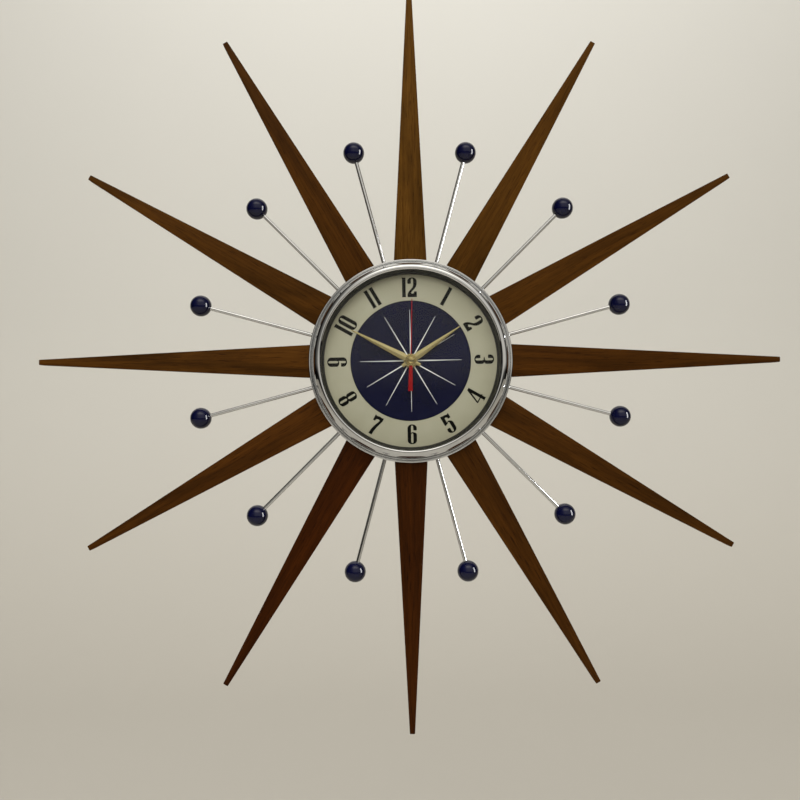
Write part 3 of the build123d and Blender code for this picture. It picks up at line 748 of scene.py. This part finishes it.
def digit_0():
    inner = oval(COUNTER, HAIR, NUMERAL_HEIGHT - HAIR, COUNTER_END)
    return [[oval(HALF, 0, NUMERAL_HEIGHT, NUMERAL_END), inner]]


def digit_1():
    half = STEM / 2
    top = NUMERAL_HEIGHT
    outline = [
        (-half - 0.5, 0), (half + 0.5, 0), (half, 0.8), (half, top - 0.7), (half + 0.2, top),
        (-half - 0.6, top), (-half - 0.5, top - 0.5), (-half, top - 1.1), (-half, 0.8),
    ]
    return [[outline]]


def digit_2():
    """Hook at the upper left, a thick right side, a thick slope and a heavy foot."""
    top = NUMERAL_HEIGHT
    outer = half_oval(HALF, top - NUMERAL_END, NUMERAL_END, 0)
    hook = [(-HALF, 13.9), (-HALF + 0.5, 13.3), (-COUNTER - 0.5, 13.3), (-COUNTER, 13.9)]
    inner = [(-COUNTER, top - HAIR - COUNTER_END)] + counter_end(top - HAIR - COUNTER_END, 0)
    slope_in = [(COUNTER, 12.4), (0.5, 9.7), (-1.9, 7.2), (-3.7, 4.9), (-HALF, 2.7)]
    foot = [(-HALF, 0), (HALF, 0), (HALF, 5.6), (HALF - 2.6, 5.6), (HALF - 2.9, 3.9), (0.4, 3.3)]
    slope_out = [(-1.2, 4.1), (0.1, 6.0), (2.4, 8.3), (3.9, 10.5), (HALF, 12.6)]
    return [[outer + hook + inner + slope_in + foot + slope_out]]


def digit_3():
    """Two bowls that share a thick right side; their thick ends hook in at the left."""
    top = NUMERAL_HEIGHT
    middle = top / 2
    upper = half_oval(HALF, top - NUMERAL_END, NUMERAL_END, 0)
    upper += [(-HALF, 14.2), (-HALF + 0.4, 13.6), (-COUNTER - 0.3, 13.6), (-COUNTER, 14.2)]
    upper += [(-COUNTER, top - HAIR - COUNTER_END)] + counter_end(top - HAIR - COUNTER_END, 0)
    upper += [(COUNTER, middle + 1.9), (COUNTER - 0.6, middle + 0.7), (-2.3, middle + 0.35)]
    lower = [(x, top - z) for x, z in reversed(upper)]
    return [[[(3.1, middle), (HALF, middle + 1.5)] + upper + lower + [(HALF, middle - 1.5)]]]


def digit_4():
    """A thick stem, a thin slope, a thin bar and a slab foot."""
    top = NUMERAL_HEIGHT
    outline = [
        (-0.6, 0), (HALF, 0), (HALF - 0.5, 0.9), (HALF - 0.5, 4.1), (HALF + 0.4, 4.1),
        (HALF + 0.4, 5.3), (HALF - 0.5, 5.3), (HALF - 0.5, top), (HALF - 3.3, top),
        (-HALF - 0.3, 5.3), (-HALF - 0.3, 4.1), (HALF - 3.6, 4.1), (HALF - 3.6, 0.9),
    ]
    inner = [(HALF - 3.6, 5.3), (-HALF + 1.2, 5.3), (HALF - 3.6, 14.6)]
    return [[outline, inner]]


def digit_5():
    """A flagged top bar, a thick stem and a bowl that is thick at the right."""
    top = NUMERAL_HEIGHT
    bowl_top = 12.6
    outline = [
        (-HALF + 0.2, top), (-HALF + 0.2, 9.9), (-HALF + 1.2, 9.5), (-COUNTER, 10.4), (0, bowl_top - HAIR),
    ]
    outline += [(0.9, bowl_top - HAIR - 0.3), (COUNTER, bowl_top - 2.8), (COUNTER, HAIR + COUNTER_END)]
    outline += counter_end(HAIR + COUNTER_END, 180)
    outline += [(-COUNTER, 5.2), (-COUNTER - 0.5, 6.0), (-HALF + 0.5, 6.0), (-HALF, 5.2)]
    outline += half_oval(HALF, NUMERAL_END, NUMERAL_END, 180)
    outline += quarter(0.4, bowl_top - NUMERAL_END, HALF - 0.4, NUMERAL_END, 0)
    outline += [(0.2, bowl_top), (-COUNTER + 0.1, 11.6), (-COUNTER + 0.1, 16.3), (0.4, 16.6), (1.7, 15.9)]
    outline += [(1.7, 14.4), (HALF, 14.4), (HALF, top), (HALF - 1.6, top - 0.9), (0.2, top - 0.4)]
    return [[outline]]


def digit_6():
    """An oval with a closed lower counter and a hook at the upper right."""
    top = NUMERAL_HEIGHT
    bowl_top = 11.9
    outline = oval(HALF, 0, top, NUMERAL_END)
    outline += quarter(0.8, bowl_top - 2.6, HALF - 0.8, 2.6, 0)
    outline += [(0, bowl_top), (-COUNTER, bowl_top - 0.7), (-COUNTER, top - HAIR - COUNTER_END)]
    outline += counter_end(top - HAIR - COUNTER_END, 0)
    outline += [(COUNTER, 14.2), (COUNTER + 0.4, 13.6), (HALF - 0.4, 13.6), (HALF, 14.2)]
    return [[outline, oval(COUNTER, HAIR, bowl_top - HAIR, COUNTER_END)]]


def digit_7():
    """A flagged top bar and a heavy leg that slants to the left."""
    top = NUMERAL_HEIGHT
    outline = [
        (-HALF, top), (-HALF, 13.6), (-HALF + 2.2, 13.6), (-HALF + 2.6, 15.6), (0.2, 16.4), (1.9, 15.9),
        (1.0, 13.2), (-0.9, 8.6), (-2.0, 4.0), (-2.3, 0), (1.3, 0), (1.4, 3.6), (2.3, 8.4), (3.6, 13.0),
        (HALF, 16.4), (HALF, top), (HALF - 2.2, top - 0.5), (0, top - 0.1), (-HALF + 2, top - 0.8),
    ]
    return [[outline]]


def digit_8():
    """Two ovals with narrow counters and a pinched waist."""
    top = NUMERAL_HEIGHT
    upper = [oval(HALF - 0.2, 8.9, top, 3.3), oval(COUNTER, 10.3, top - HAIR, COUNTER_END)]
    lower = [oval(HALF, 0, 10.2, 3.4), oval(COUNTER, HAIR, 9.1, COUNTER_END)]
    return [upper, lower]


def digit_9():
    return half_turn(digit_6())


def shifted(shapes, move):
    return [[[(x + move, z) for x, z in loop] for loop in shape] for shape in shapes]


def numeral_shapes(hour):
    if hour == 10:
        return shifted(digit_1(), -5.5) + shifted(digit_0(), 2.9)
    if hour == 11:
        return shifted(digit_1(), -3.0) + shifted(digit_1(), 3.0)
    if hour == 12:
        return shifted(digit_1(), -5.3) + shifted(digit_2(), 2.8)
    makers = (digit_1, digit_2, digit_3, digit_4, digit_5, digit_6, digit_7, digit_8, digit_9)
    return makers[hour - 1]()


def build_numerals(level, thickness):
    """Twelve printed numerals with their feet towards the centre, but 4 to 8 towards the rim."""
    black = ink("numeral black", (0.002, 0.002, 0.0015), (0.004, 0.004, 0.003), 0.4)
    for hour in range(1, HOURS + 1):
        shapes = numeral_shapes(hour)
        inward = 4 <= hour <= 8
        pieces = []
        for number, shape in enumerate(shapes):
            loops = []
            for loop in shape:
                centred = [(x, z - NUMERAL_HEIGHT / 2) for x, z in loop]
                turned = [(-x, -z) for x, z in centred] if inward else centred
                loops.append([(x * MM, (z + NUMERAL_RADIUS) * MM) for x, z in turned])
            pieces.append(plate(f"numeral_{hour:02d}_{number}", [loops], level, level + thickness))
        numeral = fuse(pieces[0], *pieces[1:]) if len(pieces) > 1 else pieces[0]
        numeral.name = f"numeral_{hour:02d}"
        turn_clockwise(numeral, hour * HOUR_STEP + DIAL_TURN)
        place(numeral, "case", "dial_face", black)


# ---- dial ----
NAVY_RADIUS = 59.2 * MM
NAVY_OUTLINE = 0.6 * MM
DIAL_TURN = math.radians(-0.9)
LINE_INNER = 6.0 * MM
LINE_OUTER = 50.5 * MM
LINE_ROOT_HALF = 0.62 * MM
LINE_TIP_HALF = 0.12 * MM
PAINT = 0.05 * MM
DIAL_BORE = 4.05 * MM
DIAL_EDGE = 0.2 * MM


def build_dial():
    """The cream disc, the navy disc with its outline, the hour lines and the numerals."""
    profile = [
        (DIAL_BORE, dial_back),
        (dial_radius, dial_back),
        (dial_radius, dial_front - DIAL_EDGE),
        (dial_radius - DIAL_EDGE, dial_front),
        (DIAL_BORE, dial_front),
    ]
    disc = lathe("dial_disc", profile)
    place(disc, "case", "dial_face", cream_paint(), "dial")
    outline = painted_ring("navy_outline", NAVY_RADIUS + NAVY_OUTLINE, PAINT)
    place(outline, "case", "dial_face", ink("outline black", (0.004, 0.004, 0.006), (0.01, 0.01, 0.014)))
    navy = painted_ring("navy_disc", NAVY_RADIUS, 2 * PAINT)
    place(navy, "case", "dial_face", navy_paint())
    white = ink("line white", (0.86, 0.86, 0.85), (0.95, 0.95, 0.94))
    for index in range(HOURS):
        outline = [
            (-LINE_ROOT_HALF, LINE_INNER),
            (LINE_ROOT_HALF, LINE_INNER),
            (LINE_TIP_HALF, LINE_OUTER),
            (-LINE_TIP_HALF, LINE_OUTER),
        ]
        base = dial_front + 2 * PAINT
        line = plate(f"hour_line_{index + 1:02d}", [[outline]], base, base + PAINT)
        turn_clockwise(line, index * HOUR_STEP + DIAL_TURN)
        place(line, "case", "dial_face", white)
    build_numerals(dial_front, PAINT)


def painted_ring(name, radius, thickness):
    """A round layer of paint with a hole for the movement's bushing."""
    top = dial_front + thickness
    return lathe(name, [(DIAL_BORE, dial_front), (radius, dial_front), (radius, top), (DIAL_BORE, top)])


# ---- hands ----
def hand_angle(node):
    """The clock angle of a hand, read from the vertex of its CAD node that is furthest out."""
    far = max(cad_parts[node].data.vertices, key=lambda v: math.hypot(v.co.x, v.co.z))
    return math.atan2(far.co.x, far.co.z)


def hand_reach(node):
    return max(math.hypot(v.co.x, v.co.z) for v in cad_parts[node].data.vertices)


SHOULDER_SHARE = 0.16
SHOULDER_LEAST = 0.08 * MM
SHOULDER_RISE = 0.12


def ridged_blade(name, stations, back, edge):
    """A blade with a raised middle: a station is a distance, a half width and a ridge height."""
    vertices, faces = [], []
    for z, half, ridge in stations:
        shoulder = max(half * SHOULDER_SHARE, SHOULDER_LEAST)
        shoulder_level = back + edge + ridge * SHOULDER_RISE
        vertices += [
            (-half, -back, z),
            (-half, -(back + edge), z),
            (-half + shoulder, -shoulder_level, z),
            (0, -(back + edge + ridge), z),
            (half - shoulder, -shoulder_level, z),
            (half, -(back + edge), z),
            (half, -back, z),
        ]
    ring = 7
    for i in range(len(stations) - 1):
        for j in range(ring):
            a, b = i * ring + j, i * ring + (j + 1) % ring
            faces.append((a, b, b + ring, a + ring))
    faces.append(tuple(range(ring)))
    last = (len(stations) - 1) * ring
    faces.append(tuple(range(last + ring - 1, last - 1, -1)))
    return add_mesh(name, vertices, faces, 12)


def boss(name, radius, bore, back, edge, crown, collar_radius, collar_back):
    """The round middle of a hand, gently crowned, with its collar behind."""
    rim = [(radius, back + edge - 0.15 * MM), (radius - 0.2 * MM, back + edge)]
    top = [(radius * k, back + edge + crown * (1 - k * k)) for k in (0.9, 0.75, 0.6, 0.45, 0.3)]
    top = [point for point in top if point[0] > bore * 1.1]
    inner_level = back + edge + crown * (1 - (bore / radius) ** 2)
    profile = [(bore, collar_back), (collar_radius, collar_back), (collar_radius, back), (radius, back)]
    return lathe(name, profile + rim + top + [(bore, inner_level)], 96, 30)


HAND_EDGE = 0.35 * MM
HAND_ROOT_HALF = 3.5 * MM
HAND_MIDDLE_HALF = 2.3 * MM
HAND_TIP_HALF = 0.55 * MM
HAND_THICKNESS = 0.6 * MM
HAND_RIDGE = 0.85 * MM
# how far from the axis a hand is widest, and where it has narrowed to its middle width
HAND_WIDEST = 9.0 * MM
HAND_MIDDLE_SHARE = 0.45


def build_hand(node, body, boss_radius, bore, tail, tail_half, collar_radius):
    """An hour or minute hand: a long kite with a ridge, on a round boss."""
    reach = hand_reach(node)
    angle = hand_angle(node)
    collar_back = back_level(node)
    back = front_level(node) - HAND_THICKNESS
    narrowing = HAND_WIDEST + (reach - HAND_WIDEST) * HAND_MIDDLE_SHARE
    stations = [
        (-tail, tail_half, 0.25 * HAND_RIDGE),
        (0, (tail_half + HAND_ROOT_HALF) / 2, 0.8 * HAND_RIDGE),
        (HAND_WIDEST, HAND_ROOT_HALF, HAND_RIDGE),
        (narrowing, HAND_MIDDLE_HALF, 0.62 * HAND_RIDGE),
        (reach - 0.6 * MM, HAND_TIP_HALF, 0.22 * HAND_RIDGE),
        (reach, HAND_TIP_HALF * 0.5, 0.08 * HAND_RIDGE),
    ]
    blade = ridged_blade(f"{node}_blade", stations, back, HAND_EDGE)
    middle = boss(
        f"{node}_boss", boss_radius, bore, back, HAND_EDGE + 0.1 * MM, 0.5 * MM, collar_radius, collar_back
    )
    hand = fuse(blade, middle, smooth_angle=9)
    hand.name = f"{node}_gilt"
    turn_clockwise(hand, angle)
    return place(hand, body, "gilt", GILT, node)


SECOND_TAIL = 30.5 * MM
SECOND_BLADE = 0.4 * MM
SECOND_BOSS = 3.4 * MM
SECOND_COLLAR = 1.3 * MM
SECOND_COLLAR_DEPTH = 0.8 * MM
ARBOR_BORE = 0.5 * MM


def build_second_hand():
    """A fine needle with a long tail that widens, on a small round boss and its collar."""
    reach = hand_reach("second_hand")
    angle = hand_angle("second_hand")
    front = front_level("second_hand")
    back = front - SECOND_BLADE
    left = [
        (-0.36 * MM, reach),
        (-0.55 * MM, 4 * MM),
        (-1.5 * MM, -1 * MM),
        (-2.3 * MM, 0.4 * MM - SECOND_TAIL),
        (-1.9 * MM, -SECOND_TAIL),
    ]
    right = [(-x, z) for x, z in reversed(left)]
    needle = plate("second_needle", [[left + right]], back, front)
    bevelled(needle, 0.08 * MM, 2)
    collar_back = back - SECOND_COLLAR_DEPTH
    profile = [(ARBOR_BORE, collar_back), (SECOND_COLLAR, collar_back), (SECOND_COLLAR, back)]
    profile += [(SECOND_BOSS, back), (SECOND_BOSS, front), (ARBOR_BORE, front)]
    hand = fuse(needle, lathe("second_boss", profile, 64))
    hand.name = "second_hand_red"
    turn_clockwise(hand, angle)
    red = ink("red paint", (0.26, 0.008, 0.010), (0.34, 0.012, 0.013), 0.4)
    place(hand, "seconds", "red_paint", red, "second_hand")


CAP_DOME = 3.5 * MM
CAP_BEAD = 0.35 * MM
CAP_SOCKET = 0.8 * MM


def build_cap():
    """A beaded flange and a shallow dome with a turned groove."""
    back = back_level("hand_cap")
    front = front_level("hand_cap")
    flange = outer_radius("hand_cap")
    bead = (flange - CAP_BEAD, back + CAP_BEAD)
    groove = back + 0.15 * MM
    profile = [(ARBOR_BORE, back), (bead[0], back)] + arc(bead, CAP_BEAD, -90, 150, 12)[1:]
    profile += [(flange - 1.0 * MM, groove), (CAP_DOME + 0.3 * MM, groove), (CAP_DOME, groove + 0.3 * MM)]
    for inset, depth in ((0.05, 0.85), (0.3, 0.45), (0.7, 0.35), (1.0, 0.5), (1.3, 0.4), (2.3, 0.12)):
        profile.append((CAP_DOME - inset * MM, front - depth * MM))
    profile += [(0, front), (0, back + CAP_SOCKET), (ARBOR_BORE, back + CAP_SOCKET)]
    cap = lathe("gilt_cap", profile, 96, 40)
    turned = gilt("turned gilt", (0.48, 0.39, 0.18), (0.64, 0.53, 0.26))
    place(cap, "seconds", "gilt", turned, "hand_cap")


# ---- finishes of the CAD nodes that keep their own mesh ----
def finish_node(material, *names):
    for name in names:
        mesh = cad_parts[name].data
        mesh.materials.clear()
        mesh.materials.append(material)


def finish_cad_nodes():
    steel = plated_steel()
    white = moulded("gear acetal", (0.55, 0.55, 0.50), (0.66, 0.66, 0.61), 1200, 0.3)
    black = moulded("movement black", (0.010, 0.010, 0.011), (0.019, 0.019, 0.020), 2200, 0.45)
    grey = moulded("knob grey", (0.25, 0.25, 0.24), (0.34, 0.34, 0.33), 1500, 0.4)
    rubber = moulded("rubber black", (0.012, 0.012, 0.012), (0.022, 0.022, 0.022), 900, 0.7)
    green = moulded("circuit green", (0.008, 0.055, 0.02), (0.015, 0.09, 0.035), 400, 0.25)
    wrap = moulded("battery wrap", (0.012, 0.03, 0.055), (0.02, 0.05, 0.085), 300, 0.22)
    finish_node(hub_wood(), "hub_board")
    finish_node(steel, "hanger_plate", "hanger_screws", "ray_screws", "case_pan", "case_screws")
    finish_node(steel, "quartz_crystal", "battery_contacts", "stator")
    finish_node(rubber, "rubber_washer")
    finish_node(brass(), "dial_washer", "dial_nut")
    finish_node(black, "movement_case", "movement_cover", "rotor", "hour_wheel")
    finish_node(white, "middle_plate", "centre_wheel", "minute_wheel", "third_wheel")
    finish_node(white, "second_wheel", "intermediate_wheel", "coil_bobbin")
    finish_node(grey, "setting_knob")
    finish_node(copper_wire(), "coil_winding")
    finish_node(green, "circuit_board")
    finish_node(wrap, "battery")


# ---- room ----
ROOM_HALF = 9.0
FLOOR_LEVEL = -1.25
ROOM_BACK = 4.5
ROOM_FRONT = -6.0
SWEEP_RADIUS = 2.0
ROOM_TOP = 7.0


def build_room():
    """A pale floor that sweeps up into a far backdrop."""
    path = [(ROOM_FRONT, FLOOR_LEVEL)]
    path += arc((ROOM_BACK - SWEEP_RADIUS, FLOOR_LEVEL + SWEEP_RADIUS), SWEEP_RADIUS, -90, 0, 24)
    path += [(ROOM_BACK, ROOM_TOP)]
    vertices = [(side, y, z) for y, z in path for side in (-ROOM_HALF, ROOM_HALF)]
    faces = [(2 * i, 2 * i + 1, 2 * i + 3, 2 * i + 2) for i in range(len(path) - 1)]
    sweep = add_mesh("studio_sweep", vertices, faces, 60)
    sweep.data.materials.append(studio_paint())


def studio_paint():
    """Matt warm white with painted shade: darker towards the floor."""
    n = Nodes("studio paint")
    cloud = n.noise(n.stretched((0.6, 0.6, 0.6)), 1.0, 3)
    height = n.add("ShaderNodeSeparateXYZ")
    n.join(n.space, height.inputs["Vector"])
    rise = n.add("ShaderNodeMapRange")
    rise.inputs["From Min"].default_value = FLOOR_LEVEL
    rise.inputs["From Max"].default_value = FLOOR_LEVEL + 4
    n.join(height.outputs["Z"], rise.inputs["Value"])
    # painted shade: the paint is darker near the floor and lighter up the backdrop
    paint = n.ramp(rise.outputs["Result"], [(0.0, (0.55, 0.525, 0.475)), (0.5, (0.78, 0.767, 0.720))])
    n.colour(n.mix(0.04, paint, cloud, "MULTIPLY"))
    return n.set(Roughness=0.9, Specular_IOR_Level=0.1).material


def add_softbox(name, place_at, size, power, aim=(0, 0, 0), glint=False):
    """A soft lamp: a glint only shows as a reflection, and any other only lights."""
    light = bpy.data.lights.new(name, "AREA")
    light.shape = "RECTANGLE"
    light.size, light.size_y = size
    light.energy = power
    obj = bpy.data.objects.new(name, light)
    obj.visible_glossy = glint
    obj.visible_diffuse = not glint
    obj.location = place_at
    direction = Vector(aim) - Vector(place_at)
    obj.rotation_euler = direction.to_track_quat("-Z", "Y").to_euler()
    bpy.context.scene.collection.objects.link(obj)
    return obj


def build_light():
    """Softboxes above and in front, a window that shows in the balls and a wash on the backdrop."""
    add_softbox("top_softbox", (-0.3, -1.6, 2.4), (2.6, 1.4), 12)
    add_softbox("front_softbox", (-0.5, -2.6, 1.4), (2.2, 1.2), 44)
    window = add_softbox("window", (2.3, -0.72, 0.35), (0.6, 1.8), 60, glint=True)
    window.light_linking.receiver_collection = WINDOW_LIT
    add_softbox("backdrop_wash", (0.1, 1.6, 4.8), (6.0, 2.0), 116, (0.1, 4.5, 2.0))
    build_world()


# brightness of the room from straight down at 0 to straight up at 1
WORLD_BY_HEIGHT = ((0.0, 0.30), (0.30, 0.08), (0.485, 0.04), (0.520, 0.62), (0.80, 0.80), (1.0, 4.5))
# dimming from straight in front of the clock at 0, past its sides, to straight behind it at 1
WORLD_BY_DEPTH = ((0.0, 0.95), (0.12, 1.0), (0.24, 0.80), (0.36, 0.12), (0.60, 0.12), (1.0, 1.0))
# dimming from the left of the clock at 0, where the room is dark, to its right at 1
WORLD_BY_SIDE = ((0.0, 0.12), (0.22, 0.25), (0.40, 1.0), (1.0, 1.0))


def build_world():
    """A pale room: bright in front of the clock and overhead, dark at its sides and below its middle."""
    world = bpy.data.worlds.new("studio")
    bpy.context.scene.world = world
    world.use_nodes = True
    tree = world.node_tree

    def node(kind, **settings):
        made = tree.nodes.new(kind)
        for key, value in settings.items():
            setattr(made, key, value)
        return made

    def ramp(source, stops):
        made = node("ShaderNodeValToRGB")
        elements = made.color_ramp.elements
        while len(elements) < len(stops):
            elements.new(0.5)
        for element, (position, value) in zip(elements, stops):
            element.position = position
            element.color = (value, value * 0.985, value * 0.95, 1)
        tree.links.new(source, made.inputs["Fac"])
        return made.outputs["Color"]

    def from_minus_one(source):
        made = node("ShaderNodeMapRange")
        made.inputs["From Min"].default_value = -1
        tree.links.new(source, made.inputs["Value"])
        return made.outputs["Result"]

    def times(first, second):
        made = node("ShaderNodeMix", data_type="RGBA", blend_type="MULTIPLY")
        made.inputs["Factor"].default_value = 1
        tree.links.new(first, made.inputs["A"])
        tree.links.new(second, made.inputs["B"])
        return made.outputs["Result"]

    coordinates = node("ShaderNodeTexCoord")
    split = node("ShaderNodeSeparateXYZ")
    tree.links.new(coordinates.outputs["Generated"], split.inputs["Vector"])
    height = ramp(from_minus_one(split.outputs["Z"]), WORLD_BY_HEIGHT)
    depth = ramp(from_minus_one(split.outputs["Y"]), WORLD_BY_DEPTH)
    side = ramp(from_minus_one(split.outputs["X"]), WORLD_BY_SIDE)
    background = tree.nodes["Background"]
    tree.links.new(times(times(height, depth), side), background.inputs["Color"])
    pale = node("ShaderNodeBackground")
    pale.inputs["Color"].default_value = (0.60, 0.575, 0.51, 1)
    path = node("ShaderNodeLightPath")
    blend = node("ShaderNodeMixShader")
    tree.links.new(path.outputs["Is Camera Ray"], blend.inputs["Fac"])
    tree.links.new(background.outputs["Background"], blend.inputs[1])
    tree.links.new(pale.outputs["Background"], blend.inputs[2])
    tree.links.new(blend.outputs["Shader"], tree.nodes["World Output"].inputs["Surface"])


# ---- camera ----
CAMERA_PLACE = (-16.2 * MM, -815.4 * MM, -53.0 * MM)
CAMERA_YAW = math.radians(-0.39)
CAMERA_PITCH = math.radians(1.02)
CAMERA_ROLL = math.radians(0.27)
CAMERA_LENS = 36.0
CAMERA_SENSOR = 36.0


def build_camera():
    """The camera stands a little below the clock's middle and looks slightly up."""
    data = bpy.data.cameras.new("camera")
    data.sensor_width = CAMERA_SENSOR
    data.lens = CAMERA_LENS
    data.clip_start = 0.01
    camera = bpy.data.objects.new("camera", data)
    bpy.context.scene.collection.objects.link(camera)
    turn = Matrix.Rotation(CAMERA_YAW, 4, "Z") @ Matrix.Rotation(CAMERA_PITCH, 4, "X")
    turn = turn @ Matrix.Rotation(CAMERA_ROLL, 4, "Y") @ Matrix.Rotation(math.radians(90), 4, "X")
    camera.matrix_world = Matrix.Translation(CAMERA_PLACE) @ turn
    bpy.context.scene.camera = camera


# ---- everything ----
bpy.context.scene.view_settings.view_transform = "Standard"
GILT = gilt("satin gilt", (0.53, 0.455, 0.225), (0.70, 0.60, 0.32))
build_camera()
build_room()
build_light()
build_rays()
build_balls_and_rods()
build_bezel()
build_glass()
build_sight_ring()
build_dial()
build_hand(
    "hour_hand", "hour", boss_radius=6.5 * MM, bore=2.5 * MM, tail=10.0 * MM, tail_half=1.7 * MM,
    collar_radius=3.6 * MM,
)
build_hand(
    "minute_hand", "minute", boss_radius=6.1 * MM, bore=1.6 * MM, tail=10.5 * MM, tail_half=1.5 * MM,
    collar_radius=2.6 * MM,
)
build_second_hand()
build_cap()
finish_cad_nodes()
